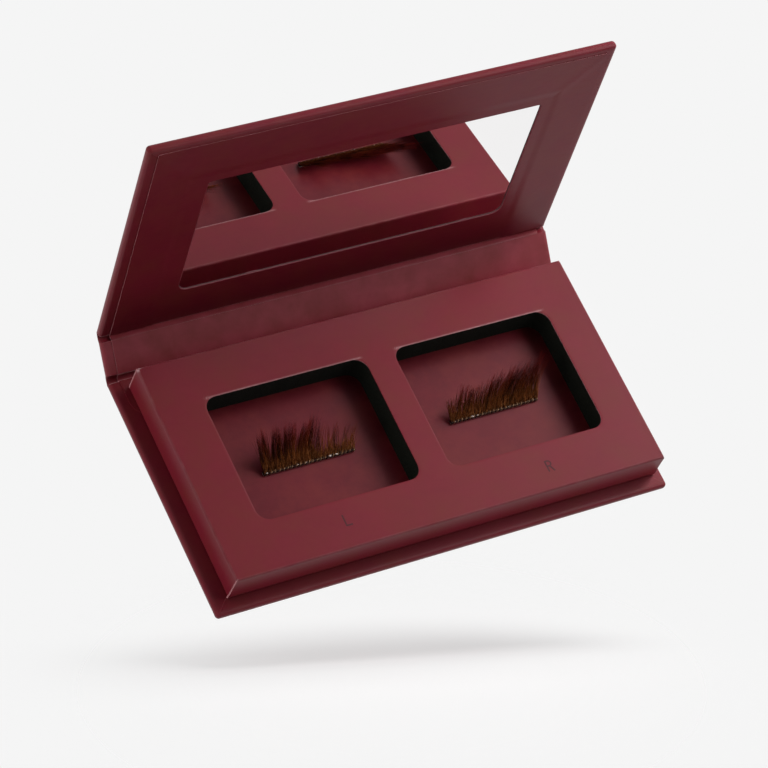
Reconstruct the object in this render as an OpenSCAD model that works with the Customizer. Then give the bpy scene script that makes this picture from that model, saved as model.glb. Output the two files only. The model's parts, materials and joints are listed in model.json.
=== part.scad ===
// False eyelash case: a book-style paperboard case with a mirror in its lid
// and a two-well tray on its base. Millimetres.
// The origin is the centre of the base panel's underside, +X runs across the
// case, +Y runs back towards the hinge and +Z is up.

/* [Case] */
// Width of the case, shared by the base, the spine and the lid
case_w = 115; // [95:1:140]
// Depth of the base panel, from its front edge to its fold
base_d = 60.4; // [58:0.2:80]
// Length of the lid panel, from its fold to its free edge
lid_d = 62.4; // [60:0.2:85]
// Radius of the free corners of the panels
panel_r = 1.2; // [0.5:0.1:4]

/* [Sheets] */
// Thickness of the covering paper and of the liner sheet
paper_t = 0.15; // [0.1:0.01:0.3]
// Thickness of the board in the base
base_board_t = 1.6; // [1:0.1:2.5]
// Thickness of the board in the spine
spine_board_t = 1.6; // [1:0.1:2.5]
// Thickness of the plain board at the back of the lid
lid_back_t = 0.7; // [0.5:0.05:1.5]
// Thickness of the lid's second board, which has the mirror window
lid_frame_t = 1.05; // [0.8:0.05:2]
// Width of the covering paper that is turned in over a board's edge
turn_in = 12; // [6:0.5:14]
// Bare border between the liner sheet and the sides of the case
liner_side = 2.5; // [1:0.1:5]
// Bare border between the liner sheet and the lid's free edge
liner_end = 1.7; // [1:0.1:5]
// Length of the liner's rear flap, glued on the base from the fold forward
flap_len = 10; // [6:0.5:20]
// Radius of the flap's front corners
flap_r = 4; // [1:0.5:6]

/* [Hinges] */
// Angle of the spine above the table, as the case stands open
spine_angle = 35; // [20:1:60]
// Angle of the lid above the table, as the case stands open
lid_angle = 83.5; // [75:0.5:110]
// Distance from a fold to the board edge beside it, in the base and the lid
fold_setback = 0.4; // [0.2:0.05:1]
// Room between the spine board and the panel that it folds against
spine_clearance = 0.35; // [0.2:0.05:1]
// Room between the tray and the closed lid
lid_clearance = 0.25; // [0.15:0.05:1]

/* [Tray] */
// Width of the tray
tray_w = 108.8; // [90:0.2:109]
// Depth of the tray, front to rear
tray_d = 54.7; // [50:0.1:55]
// Height of the tray above the glue sheet
tray_h = 7.95; // [6:0.05:16]
// How far the tray is glued off the middle of the base, sideways
tray_shift = 0.8; // [-1:0.1:1]
// Distance from the tray's rear wall to the base's fold
tray_rear_gap = 2.4; // [2.3:0.1:4]
// Thickness of the tray's folded card
card_t = 0.4; // [0.2:0.05:0.8]
// Width of the flanges folded in under the tray
flange_w = 6; // [3:0.5:10]
// Thickness of the glue sheet between the base and the tray
glue_t = 0.15; // [0.1:0.01:0.3]
// Bare border round the glue sheet
glue_inset = 1; // [0.5:0.1:4]
// Room between the tray's walls and what is inside it
tray_clearance = 0.15; // [0.1:0.05:0.4]

/* [Wells] */
// Width of each window in the tray
well_w = 40.3; // [32:0.1:44]
// Depth of each window, front to rear
well_d = 31.8; // [24:0.1:36]
// Width of the bar between the two windows
well_gap = 7.3; // [4:0.1:12]
// Distance from the tray's front wall to the windows
well_front = 11.6; // [10.5:0.1:14]
// How far the pair of windows is off the middle of the tray, sideways
well_shift = 0.6; // [-1:0.1:1]
// Corner radius of the windows
well_r = 3; // [1:0.1:8]
// How far the foam stands back behind the edge of a window
foam_setback = 0.25; // [0:0.05:1]
// Thickness of the card on the floor of the wells
floor_t = 0.4; // [0.2:0.05:1]

/* [Mirror] */
// Width of the mirror window
mirror_win_w = 82.7; // [60:0.1:84]
// Height of the mirror window, along the lid
mirror_win_h = 36.8; // [20:0.1:38]
// Distance from the lid's fold to the mirror window
mirror_low = 10.6; // [6:0.1:11]
// How far the window is off the middle of the lid, sideways
mirror_shift = 0.8; // [-1:0.1:1]
// Radius of the two window corners near the fold
mirror_low_r = 2.6; // [1:0.1:6]
// Radius of the two window corners near the free edge
mirror_top_r = 0.6; // [0.3:0.1:6]
// Thickness of the mirror plate
mirror_t = 0.5; // [0.3:0.05:0.8]
// Thickness of the tape behind the mirror plate
tape_t = 0.1; // [0.05:0.01:0.2]
// Room between the mirror plate and its window
mirror_clearance = 0.15; // [0.1:0.05:0.4]

/* [Closure] */
// Diameter of the magnets and of the steel discs
magnet_d = 8; // [5:0.5:8]
// Thickness of a tray magnet
magnet_t = 2; // [1:0.25:4]
// Thickness of a steel disc in the lid
disc_t = 0.8; // [0.4:0.05:0.8]
// Distance from the tray's front wall to the centre of a magnet
magnet_inset = 5; // [4.8:0.1:6]
// Distance between the two magnets
magnet_span = 80; // [40:1:84]
// Room round a magnet or disc in its pocket
magnet_clearance = 0.1; // [0.05:0.05:0.3]

/* [Lashes] */
// Length of a lash band
band_len = 22.8; // [16:0.1:30]
// Depth of a lash band, front to rear
band_d = 0.9; // [0.8:0.05:1.2]
// Height of a lash band, without the strip that carries the hairs
band_h = 0.6; // [0.3:0.05:1]
// Height of the strip of the band that carries the hairs
strip_h = 0.2; // [0.1:0.05:0.4]
// Thickness of the adhesive under a band
lash_glue_t = 0.15; // [0.1:0.01:0.3]
// Distance from the front of a window to the band
band_front = 13.4; // [8:0.1:16]
// Length of the hairs at the inner end of a lash
hair_inner = 4.6; // [3:0.1:7]
// Length of the hairs at the outer end of a lash
hair_outer = 9; // [6:0.1:9.4]
// Thickness of a hair at its root
hair_t = 0.16; // [0.1:0.01:0.18]
// Hairs in each of the three rows
hair_columns = 52; // [50:1:56]
// Sideways lean of the tips at the inner end
lean_inner = 1.5; // [0:0.1:3]
// Sideways lean of the tips at the outer end
lean_outer = 2.6; // [0:0.1:4]

/* [Hidden] */

// Facets of the round corners and discs
round_fn = 48;
// How far a cutting shape runs past the surface that it cuts
cut = 1;

// Colours
burgundy = [0.43, 0.18, 0.22];
liner_red = [0.40, 0.15, 0.19];
board_grey = [0.62, 0.60, 0.56];
foam_black = [0.05, 0.05, 0.05];
steel = [0.70, 0.71, 0.73];
hair_brown = [0.28, 0.13, 0.07];
band_brown = [0.14, 0.07, 0.05];
glue_clear = [0.85, 0.84, 0.80];
mirror_silver = [0.80, 0.83, 0.85];

// Levels in the base, from its underside up
fold_y = base_d / 2;
base_t = base_board_t + 2 * paper_t;
tray_z = base_t + max(glue_t, paper_t);
tray_top_z = tray_z + tray_h;
floor_z = tray_z + card_t;
well_floor_z = floor_z + floor_t;

// Levels in the spine and the lid, from the outer face inwards
spine_t = spine_board_t + 2 * paper_t;
lid_core_t = lid_back_t + lid_frame_t;
lid_t = lid_core_t + 2 * paper_t;
lid_total_t = lid_t + paper_t;

// The spine is as long as the closed case is high
spine_len = tray_top_z + lid_clearance + lid_total_t;
spine_low = base_t + paper_t + spine_clearance;
spine_high = spine_len - lid_total_t - spine_clearance;
fold_two_y = fold_y + spine_len * cos(spine_angle);
fold_two_z = spine_len * sin(spine_angle);

// The tray's place on the base
tray_rear_y = fold_y - tray_rear_gap;
tray_front_y = tray_rear_y - tray_d;
inner_w = tray_w - 2 * (card_t + tray_clearance);
inner_d = tray_d - 2 * (card_t + tray_clearance);

// The wells' places
well_x = (well_gap + well_w) / 2;
well_middle_x = tray_shift + well_shift;
well_y = tray_front_y + well_front + well_d / 2;

// The closure's places
magnet_y = tray_front_y + magnet_inset;
magnet_top_z = tray_top_z - card_t;
disc_y = fold_y - magnet_y;
frame_z = paper_t + lid_back_t;

// The mirror's place in the lid
mirror_z = frame_z + tape_t;
mirror_middle_y = mirror_low + mirror_win_h / 2;

// The lashes' places: each stands in the middle of its well
band_y = tray_front_y + well_front + band_front;
band_z = well_floor_z + lash_glue_t;
strip_z = band_z + band_h;

// A hair row's elevation at the root and at the tip, front row first, and its share of the length
row_root_angle = [30, 18, 6];
row_tip_angle = [50, 44, 36];
row_length = [0.95, 1, 0.92];
// Where each row's hairs stand in their cells, as a share of a cell's width
row_stagger = [0.3, 0.7, 0.3];
hair_rows = 3;
hair_sides = 3;
// Thickness at the root and at the two rings above it, as a share of the root's
hair_taper = [1, 0.8, 0.5];
hair_rings = 3;

// Corner of an outline with its round cut off: one point if it is square, two if it is round
function corner(x, y, r, sx, sy) =
    r == 0 ? [[x, y]] :
    sx * sy > 0 ? [[x, y - sy * r], [x - sx * r, y]] :
    [[x - sx * r, y], [x, y - sy * r]];

// Rectangle from y0 to y1 with radius low_r at its y0 corners and high_r at its y1 corners
module round_rect(w, y0, y1, low_r, high_r) {
    polygon(concat(
        corner(w / 2, y0, low_r, 1, -1),
        corner(w / 2, y1, high_r, 1, 1),
        corner(-w / 2, y1, high_r, -1, 1),
        corner(-w / 2, y0, low_r, -1, -1)));
    for (side = [-1, 1]) {
        if (low_r > 0)
            translate([side * (w / 2 - low_r), y0 + low_r]) circle(r = low_r, $fn = round_fn);
        if (high_r > 0)
            translate([side * (w / 2 - high_r), y1 - high_r]) circle(r = high_r, $fn = round_fn);
    }
}

module slab(w, y0, y1, z, t, low_r = 0, high_r = 0) {
    translate([0, 0, z]) linear_extrude(t) round_rect(w, y0, y1, low_r, high_r);
}

// Panel frames: y runs from the fold to the free edge, z from the outer face inwards
module on_base() {
    translate([0, fold_y, 0]) mirror([0, 1, 0]) children();
}

module on_spine() {
    translate([0, fold_y, 0]) rotate([spine_angle, 0, 0]) children();
}

module on_lid() {
    translate([0, fold_two_y, fold_two_z]) rotate([lid_angle, 0, 0]) children();
}

// Places in the side view, as [y, z], from a panel's own distances
function at_spine(u, v) = [
    fold_y + u * cos(spine_angle) - v * sin(spine_angle),
    u * sin(spine_angle) + v * cos(spine_angle)];

function at_lid(u, v) = [
    fold_two_y + u * cos(lid_angle) - v * sin(lid_angle),
    fold_two_z + u * sin(lid_angle) + v * cos(lid_angle)];

// A strip across the case whose side view is the given outline
module cross_strip(w, outline) {
    translate([-w / 2, 0, 0]) rotate([90, 0, 90]) linear_extrude(w) polygon(outline);
}

// Board inside a covering paper
module covered_board(depth, t) {
    slab(case_w - 2 * paper_t, fold_setback, depth - paper_t, paper_t, t, 0, panel_r - paper_t);
}

// Covering paper of a panel with a free edge: outer face, three edges and three turned-in borders
module panel_cover(depth, core_t) {
    difference() {
        slab(case_w, fold_setback, depth, 0, core_t + 2 * paper_t, 0, panel_r);
        slab(case_w - 2 * paper_t, fold_setback - cut, depth - paper_t, paper_t, core_t,
            0, panel_r - paper_t);
        slab(case_w - 2 * turn_in, fold_setback - cut, depth - turn_in, paper_t, core_t + cut);
    }
}

// Liner sheet: it lies on the turned-in borders and steps down onto the board between them
module liner_sheet(w, y0, y1, step_y1, z) {
    step_w = case_w - 2 * turn_in;
    difference() {
        slab(w, y0, y1, z, paper_t);
        slab(step_w, y0 - cut, step_y1, z - cut, 2 * cut);
    }
    difference() {
        slab(step_w, y0, step_y1, z - paper_t, 2 * paper_t);
        slab(step_w - 2 * paper_t, y0 - cut, step_y1 - (step_y1 < y1 ? paper_t : -cut), z, cut);
    }
}

module base_board() {
    color(board_grey) on_base() covered_board(base_d, base_board_t);
}

module base_wrap() {
    color(burgundy) on_base() panel_cover(base_d, base_board_t);
}

module base_liner_flap() {
    color(liner_red) on_base()
        slab(case_w - 2 * liner_side, fold_setback, flap_len, base_t, paper_t, 0, flap_r);
}

module tray_glue_sheet() {
    rear_y = min(fold_y - flap_len, tray_rear_y) - glue_inset;
    color(glue_clear) translate([tray_shift, 0, 0])
        slab(tray_w - 2 * glue_inset, tray_front_y + glue_inset, rear_y, base_t, tray_z - base_t);
}

// Both windows of the tray, widened all round by grow
module wells(z, t, grow) {
    for (side = [-1, 1])
        translate([well_middle_x + side * well_x, well_y, 0])
            slab(well_w + 2 * grow, -well_d / 2 - grow, well_d / 2 + grow, z, t,
                well_r + grow, well_r + grow);
}

module tray_sleeve() {
    color(burgundy) difference() {
        translate([tray_shift, 0, 0]) slab(tray_w, tray_front_y, tray_rear_y, tray_z, tray_h);
        translate([tray_shift, 0, 0])
            slab(tray_w - 2 * card_t, tray_front_y + card_t, tray_rear_y - card_t, floor_z,
                tray_h - 2 * card_t);
        translate([tray_shift, 0, 0])
            slab(tray_w - 2 * flange_w, tray_front_y + flange_w, tray_rear_y - flange_w,
                tray_z - cut, 2 * cut + card_t);
        wells(magnet_top_z - cut, card_t + 2 * cut, 0);
    }
}

module well_floor() {
    color(burgundy) translate([tray_shift, 0, 0])
        slab(inner_w, tray_front_y + card_t + tray_clearance,
            tray_front_y + card_t + tray_clearance + inner_d, floor_z, floor_t);
}

// Both magnets, or their pockets when grow is the room round them
module magnets(grow) {
    for (side = [-1, 1])
        translate([tray_shift + side * magnet_span / 2, magnet_y, magnet_top_z - magnet_t])
            cylinder(r = magnet_d / 2 + grow, h = magnet_t + (grow > 0 ? cut : 0), $fn = round_fn);
}

module foam_insert() {
    color(foam_black) difference() {
        translate([tray_shift, 0, 0])
            slab(inner_w, tray_front_y + card_t + tray_clearance,
                tray_front_y + card_t + tray_clearance + inner_d, well_floor_z,
                magnet_top_z - well_floor_z);
        wells(well_floor_z - cut, tray_h + 2 * cut, foam_setback);
        magnets(magnet_clearance);
    }
}

module tray_magnets() {
    color(steel) magnets(0);
}

// One lash, drawn with its inner end at -X: lash space has its origin under the band's middle
module in_well(side) {
    translate([well_middle_x + side * well_x, band_y, 0]) mirror([side < 0 ? 1 : 0, 0, 0])
        children();
}

module lash_glue_strips() {
    color(glue_clear) for (side = [-1, 1])
        in_well(side) slab(band_len, 0, band_d, well_floor_z, lash_glue_t);
}

module lash_band(side) {
    color(band_brown) in_well(side) slab(band_len, 0, band_d, band_z, band_h);
}

// Place along the band of a hair, from 0 at its inner end to 1 at its outer end
function hair_share(column, row) = (column + row_stagger[row]) / hair_columns;

// Elevation of a hair at s from 0 at its root to 1 at its tip
function hair_angle(row, s) =
    row_root_angle[row] + (row_tip_angle[row] - row_root_angle[row]) * s;

// Hair length: it grows along the band and every fourth hair is a little shorter
function hair_length(column, row) =
    row_length[row] * (1 - 0.06 * (column % 4 == 0 ? 1 : 0)) *
    (hair_inner + (hair_outer - hair_inner) * sin(90 * pow(hair_share(column, row), 0.8)));

// Tip's lean: inwards at the inner end and outwards at the outer end
function hair_lean(column, row) =
    -lean_inner + (lean_inner + lean_outer) * hair_share(column, row);

// Point of a hair at s: an arc in side view that leans sideways with s squared
function hair_point(column, row, s) =
    let (low = hair_angle(row, 0), high = hair_angle(row, 1), angle = hair_angle(row, s),
        radius = hair_length(column, row) / ((high - low) * PI / 180))
    [-band_len / 2 + band_len * hair_share(column, row) + hair_lean(column, row) * s * s,
        band_d * (row + 0.5) / hair_rows + radius * (sin(angle) - sin(low)),
        strip_z + strip_h + radius * (cos(low) - cos(angle))];

// Points of a hair's root, which lies flat, of its rings, which stand square to it, then its tip
function hair_points(column, row) = concat(
    [for (ring = [0 : hair_rings - 1], corner = [0 : hair_sides - 1])
        let (centre = hair_point(column, row, ring / hair_rings),
            reach = hair_taper[ring] * hair_t / sqrt(3),
            turn = 90 + corner * 360 / hair_sides,
            angle = ring == 0 ? 90 : hair_angle(row, ring / hair_rings))
        centre + reach * [cos(turn), sin(turn) * sin(angle), -sin(turn) * cos(angle)]],
    [hair_point(column, row, 1)]);

hair_count = hair_columns * hair_rows;
points_per_hair = hair_sides * hair_rings + 1;

// The strip's points: a grid of cell corners on its top, then the two long edges of its underside
grid_columns = hair_columns + 1;
grid_rows = hair_rows + 1;
grid_start = hair_count * points_per_hair;
under_start = grid_start + grid_columns * grid_rows;

function grid(column, row) = grid_start + row * grid_columns + column;

function under(column, row) = under_start + row * grid_columns + column;

function strip_points() = concat(
    [for (row = [0 : hair_rows], column = [0 : hair_columns])
        [-band_len / 2 + band_len * column / hair_columns, band_d * row / hair_rows,
            strip_z + strip_h]],
    [for (row = [0, 1], column = [0 : hair_columns])
        [-band_len / 2 + band_len * column / hair_columns, band_d * row, strip_z]]);

// Faces are listed clockwise as seen from outside
function hair_faces(column, row) =
    let (p = (row * hair_columns + column) * points_per_hair,
        a = grid(column, row), b = grid(column + 1, row),
        c = grid(column + 1, row + 1), d = grid(column, row + 1),
        tip = p + hair_sides * hair_rings)
    concat(
        // The cell round the root: its corners are a, b, c, d and the root's are p (rear), p + 1
        // (front left) and p + 2 (front right)
        [[a, p + 1, p + 2], [a, p + 2, b], [b, p + 2, c], [c, p + 2, p], [c, p, d],
            [d, p, p + 1], [d, p + 1, a]],
        [for (ring = [0 : hair_rings - 2], corner = [0 : hair_sides - 1])
            let (next = (corner + 1) % hair_sides, low = p + ring * hair_sides,
                high = low + hair_sides)
            each [[low + corner, high + corner, high + next],
                [low + corner, high + next, low + next]]],
        [for (corner = [0 : hair_sides - 1])
            let (next = (corner + 1) % hair_sides, last = p + hair_sides * (hair_rings - 1))
            [last + corner, tip, last + next]]);

function side_faces() = concat(
    [for (column = [0 : hair_columns - 1])
        each [
            [grid(column, 0), grid(column + 1, 0), under(column + 1, 0)],
            [grid(column, 0), under(column + 1, 0), under(column, 0)],
            [grid(column + 1, hair_rows), grid(column, hair_rows), under(column, 1)],
            [grid(column + 1, hair_rows), under(column, 1), under(column + 1, 1)],
            [under(column, 0), under(column + 1, 0), under(column + 1, 1)],
            [under(column, 0), under(column + 1, 1), under(column, 1)]]],
    [[grid(0, 3), grid(0, 2), under(0, 1)], [grid(0, 2), grid(0, 1), under(0, 1)],
        [grid(0, 1), under(0, 0), under(0, 1)], [grid(0, 1), grid(0, 0), under(0, 0)],
        [grid(hair_columns, 0), grid(hair_columns, 1), under(hair_columns, 0)],
        [grid(hair_columns, 1), under(hair_columns, 1), under(hair_columns, 0)],
        [grid(hair_columns, 1), grid(hair_columns, 2), under(hair_columns, 1)],
        [grid(hair_columns, 2), grid(hair_columns, 3), under(hair_columns, 1)]]);

// Hairs standing on the top strip of the band, as one closed shape
module lash_hairs(side) {
    points = concat(
        [for (row = [0 : hair_rows - 1], column = [0 : hair_columns - 1])
            each hair_points(column, row)],
        strip_points());
    faces = concat(
        [for (row = [0 : hair_rows - 1], column = [0 : hair_columns - 1])
            each hair_faces(column, row)],
        side_faces());
    color(hair_brown) in_well(side) polyhedron(points, faces);
}

module left_lash_band() {
    lash_band(-1);
}

module left_lash_hairs() {
    lash_hairs(-1);
}

module right_lash_band() {
    lash_band(1);
}

module right_lash_hairs() {
    lash_hairs(1);
}

// Covering paper from the base's board edge, round the first fold, to the spine's board edge
module base_hinge_wrap() {
    rear_y = fold_y - fold_setback;
    color(burgundy) cross_strip(case_w, [
        [rear_y, 0], [fold_y, 0], at_spine(spine_low, 0), at_spine(spine_low, paper_t),
        at_spine(paper_t * tan(spine_angle / 2), paper_t), [rear_y, paper_t]]);
}

module base_hinge_liner() {
    rear_y = fold_y - fold_setback;
    color(liner_red) cross_strip(case_w - 2 * liner_side, [
        [rear_y, base_t], at_spine(spine_low, spine_t), at_spine(spine_low, spine_t + paper_t),
        [rear_y, base_t + paper_t]]);
}

module spine_board() {
    color(board_grey) on_spine()
        slab(case_w - 2 * paper_t, spine_low, spine_high, paper_t, spine_board_t);
}

module spine_wrap() {
    color(burgundy) on_spine() difference() {
        slab(case_w, spine_low, spine_high, 0, spine_t);
        slab(case_w - 2 * paper_t, spine_low - cut, spine_high + cut, paper_t, spine_board_t);
        slab(case_w - 2 * turn_in, spine_low - cut, spine_high + cut, paper_t, spine_t);
    }
}

module spine_liner() {
    color(liner_red) on_spine()
        liner_sheet(case_w - 2 * liner_side, spine_low, spine_high, spine_high, spine_t);
}

// Covering paper from the spine's board edge, round the second fold, to the lid's board edge
module lid_hinge_wrap() {
    mitre = paper_t * tan((lid_angle - spine_angle) / 2);
    color(burgundy) cross_strip(case_w, [
        at_spine(spine_high, 0), at_spine(spine_len, 0), at_lid(fold_setback, 0),
        at_lid(fold_setback, paper_t), at_spine(spine_len - mitre, paper_t),
        at_spine(spine_high, paper_t)]);
}

module lid_hinge_liner() {
    color(liner_red) cross_strip(case_w - 2 * liner_side, [
        at_spine(spine_high, spine_t), at_lid(fold_setback, lid_t),
        at_lid(fold_setback, lid_t + paper_t), at_spine(spine_high, spine_t + paper_t)]);
}

module lid_back_board() {
    color(board_grey) on_lid() covered_board(lid_d, lid_back_t);
}

// The mirror window, widened all round by grow
module mirror_window(z, t, grow) {
    translate([mirror_shift, mirror_middle_y, 0])
        slab(mirror_win_w + 2 * grow, -mirror_win_h / 2 - grow, mirror_win_h / 2 + grow, z, t,
            mirror_low_r + grow, mirror_top_r + grow);
}

// Both steel discs, or their pockets when grow is the room round them
module discs(grow) {
    for (side = [-1, 1])
        translate([tray_shift + side * magnet_span / 2, disc_y, frame_z - (grow > 0 ? cut : 0)])
            cylinder(r = magnet_d / 2 + grow, h = grow > 0 ? lid_frame_t + 2 * cut : disc_t,
                $fn = round_fn);
}

module lid_frame_board() {
    color(board_grey) on_lid() difference() {
        translate([0, 0, lid_back_t]) covered_board(lid_d, lid_frame_t);
        mirror_window(frame_z - cut, lid_frame_t + 2 * cut, 0);
        discs(magnet_clearance);
    }
}

module lid_wrap() {
    color(burgundy) on_lid() panel_cover(lid_d, lid_core_t);
}

module lid_liner() {
    color(liner_red) on_lid() difference() {
        liner_sheet(case_w - 2 * liner_side, fold_setback, lid_d - liner_end, lid_d - turn_in, lid_t);
        mirror_window(lid_t - cut, 2 * cut, 0);
    }
}

module lid_discs() {
    color(steel) on_lid() discs(0);
}

module mirror_tape() {
    color(glue_clear) on_lid() mirror_window(frame_z, tape_t, -mirror_clearance);
}

module mirror_plate() {
    color(mirror_silver) on_lid() mirror_window(mirror_z, mirror_t, -mirror_clearance);
}

base_board();
base_wrap();
base_liner_flap();
tray_glue_sheet();
tray_sleeve();
foam_insert();
well_floor();
tray_magnets();
lash_glue_strips();
left_lash_band();
left_lash_hairs();
right_lash_band();
right_lash_hairs();
base_hinge_wrap();
base_hinge_liner();
spine_board();
spine_wrap();
spine_liner();
lid_hinge_wrap();
lid_hinge_liner();
lid_back_board();
lid_frame_board();
lid_wrap();
lid_liner();
lid_discs();
mirror_tape();
mirror_plate();  // mirror
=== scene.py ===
import json
import math

import bmesh
import bpy
import numpy as np
from mathutils import Matrix, Vector


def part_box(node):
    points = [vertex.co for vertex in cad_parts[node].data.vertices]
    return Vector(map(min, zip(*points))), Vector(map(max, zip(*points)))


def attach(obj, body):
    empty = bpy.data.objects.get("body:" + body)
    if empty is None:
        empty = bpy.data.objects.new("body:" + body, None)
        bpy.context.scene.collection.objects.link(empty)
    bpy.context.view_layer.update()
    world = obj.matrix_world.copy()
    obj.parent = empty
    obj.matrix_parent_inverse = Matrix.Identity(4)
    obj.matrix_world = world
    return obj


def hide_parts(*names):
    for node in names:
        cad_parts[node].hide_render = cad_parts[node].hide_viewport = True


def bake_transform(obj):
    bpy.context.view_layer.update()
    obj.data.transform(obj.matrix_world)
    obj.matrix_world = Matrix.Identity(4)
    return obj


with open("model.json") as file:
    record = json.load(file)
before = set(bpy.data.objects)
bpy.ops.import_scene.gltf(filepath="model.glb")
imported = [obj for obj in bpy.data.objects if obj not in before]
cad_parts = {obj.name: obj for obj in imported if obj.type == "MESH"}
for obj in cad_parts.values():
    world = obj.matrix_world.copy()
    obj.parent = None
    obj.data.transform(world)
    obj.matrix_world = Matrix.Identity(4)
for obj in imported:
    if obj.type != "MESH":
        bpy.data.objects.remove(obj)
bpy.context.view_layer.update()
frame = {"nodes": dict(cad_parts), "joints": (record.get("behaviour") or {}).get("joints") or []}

mm = 0.001


# Places read from the frame, in millimetres

joints = {joint["name"]: joint for joint in frame["joints"]}
foldOne = np.array(joints["spine_hinge"]["pos_m"]) / mm
foldTwo = np.array(joints["lid_hinge"]["pos_m"]) / mm
spineAngle = math.radians(joints["spine_hinge"]["range_deg"][1])
lidAngle = spineAngle + math.radians(joints["lid_hinge"]["range_deg"][1])


# Lowest and highest corner of a CAD node at rest, in millimetres.
def nodeBox(name):
    low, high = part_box(name)
    return np.array(low) / mm, np.array(high) / mm


# Axes of a panel that stands at an angle above the table: across, away from its fold, inwards.
def panelAxes(angle):
    return np.array([[1, 0, 0],
                     [0, math.cos(angle), math.sin(angle)],
                     [0, -math.sin(angle), math.cos(angle)]])


# The base is seen from its fold towards the front, so both its flat axes turn round
baseAxes = np.array([[-1, 0, 0], [0, -1, 0], [0, 0, 1]])
spineAxes = panelAxes(spineAngle)
lidAxes = panelAxes(lidAngle)
panels = {"base": (foldOne, baseAxes), "spine": (foldOne, spineAxes), "lid": (foldTwo, lidAxes),
          "world": (np.zeros(3), np.eye(3))}


# Points of a panel's own frame, moved into the row frame.
def place(points, panel):
    origin, axes = panels[panel]
    return origin + np.asarray(points) @ axes


# Lowest and highest corner of a CAD node, measured along its panel's own axes.
def panelBox(name, panel):
    origin, axes = panels[panel]
    node = frame["nodes"][name]
    points = np.zeros(len(node.data.vertices) * 3)
    node.data.vertices.foreach_get("co", points)
    local = (points.reshape(-1, 3) / mm - origin) @ axes.T
    return local.min(0), local.max(0)


baseLow, baseHigh = panelBox("base_wrap", "base")
lidLow, lidHigh = panelBox("lid_wrap", "lid")
spineLow, spineHigh = panelBox("spine_wrap", "spine")
caseWidth = baseHigh[0] - baseLow[0]
trayLow, trayHigh = nodeBox("tray_sleeve")


# Surfaces: a surface is a dictionary of points, quads and named values at the points

# Quads of a grid of points, row by row. Their outer side is where columns x rows points.
def surface(grid, closed=False, turned=False, **values):
    rows, columns = grid.shape[:2]
    row = np.arange(rows - 1)[:, None]
    column = np.arange(columns if closed else columns - 1)[None, :]
    first = row * columns + column
    second = row * columns + (column + 1) % columns
    faces = np.stack([first, second, second + columns, first + columns], -1).reshape(-1, 4)
    if turned:
        faces = faces[:, ::-1]
    spread = {name: np.broadcast_to(value, grid.shape[:2]).ravel() for name, value in values.items()}
    return {"points": grid.reshape(-1, 3), "faces": faces, "values": spread}


# Several surfaces as one.
def joined(*surfaces):
    starts = np.cumsum([0] + [len(part["points"]) for part in surfaces[:-1]])
    names = {name for part in surfaces for name in part["values"]}
    return {
        "points": np.concatenate([part["points"] for part in surfaces]),
        "faces": np.concatenate([part["faces"] + start for part, start in zip(surfaces, starts)]),
        "values": {name: np.concatenate([part["values"].get(name, np.zeros(len(part["points"])))
                                         for part in surfaces]) for name in names}}


# Plan points with a height, which may be one for all, for each row or for each point
def raised(plan, height):
    return np.concatenate([plan, np.broadcast_to(height, plan.shape[:-1])[..., None]], -1)


# A surface moved from a panel's own frame into the row frame.
def placed(part, panel):
    return {**part, "points": place(part["points"], panel)}


# Shades a mesh smooth, with hard edges where its faces meet at more than the angle.
def sharpen(mesh, angle=32):
    work = bmesh.new()
    work.from_mesh(mesh)
    for edge in work.edges:
        edge.smooth = len(edge.link_faces) == 2 and edge.calc_face_angle(0) < math.radians(angle)
    for face in work.faces:
        face.smooth = True
    work.to_mesh(mesh)
    work.free()


# A mesh from a surface's points and quads, with its named values as attributes
def makeMesh(name, part, materials):
    mesh = bpy.data.meshes.new(name)
    faces = part["faces"]
    faces = faces if isinstance(faces, list) else faces.tolist()
    mesh.from_pydata((part["points"] * mm).tolist(), [], faces)
    for key, value in part["values"].items():
        layer = mesh.attributes.new(key, "FLOAT", "POINT")
        layer.data.foreach_set("value", np.ascontiguousarray(value, dtype=np.float32))
    for material in materials:
        mesh.materials.append(material)
    return mesh


# Makes a surface a mesh object; wall gives it a thickness on its inner side, with the second
# material on its cut edges.
def makePiece(name, part, materials, replaces=(), wall=0, weld=0.002, body=None, blend=None,
              angle=32, capped=False):
    mesh = makeMesh(name, part, materials)
    if weld:
        work = bmesh.new()
        work.from_mesh(mesh)
        bmesh.ops.remove_doubles(work, verts=work.verts, dist=weld * mm)
        if capped:
            bmesh.ops.holes_fill(work, edges=[edge for edge in work.edges if edge.is_boundary])
        work.to_mesh(mesh)
        work.free()
    piece = bpy.data.objects.new(name, mesh)
    bpy.context.scene.collection.objects.link(piece)
    if wall:
        solid = piece.modifiers.new("Wall", "SOLIDIFY")
        solid.thickness = wall * mm
        solid.offset = -1
        solid.material_offset_rim = len(materials) - 1
        graph = bpy.context.evaluated_depsgraph_get()
        finished = bpy.data.meshes.new_from_object(piece.evaluated_get(graph))
        piece.modifiers.clear()
        piece.data = finished
        finished.name = name
    sharpen(piece.data, angle)
    if replaces:
        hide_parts(*replaces)
    if body:
        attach(piece, body)
    if blend:
        tuple(blend[2] * mm)
        tuple(blend[3] * mm)
        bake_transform(piece)
    return piece


# A soft irregular height from -1 to 1: a mean of plane waves about reach long, with directions and
# phases drawn from the seed.
def ripple(x, y, reach, seed, waves=9):
    draw = np.random.default_rng(seed)
    way, phase = draw.uniform(0, 2 * np.pi, (2, waves))
    pace = 2 * np.pi / (reach * draw.uniform(0.7, 1.6, waves))
    x, y = np.asarray(x)[..., None], np.asarray(y)[..., None]
    return np.sin(pace * (x * np.cos(way) + y * np.sin(way)) + phase).mean(-1) * 1.8


# 0 below low, 1 above high, and a smooth step between.
def rise(x, low, high):
    t = np.clip((x - low) / (high - low), 0, 1)
    return t * t * (3 - 2 * t)


# Shader recipes

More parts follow.
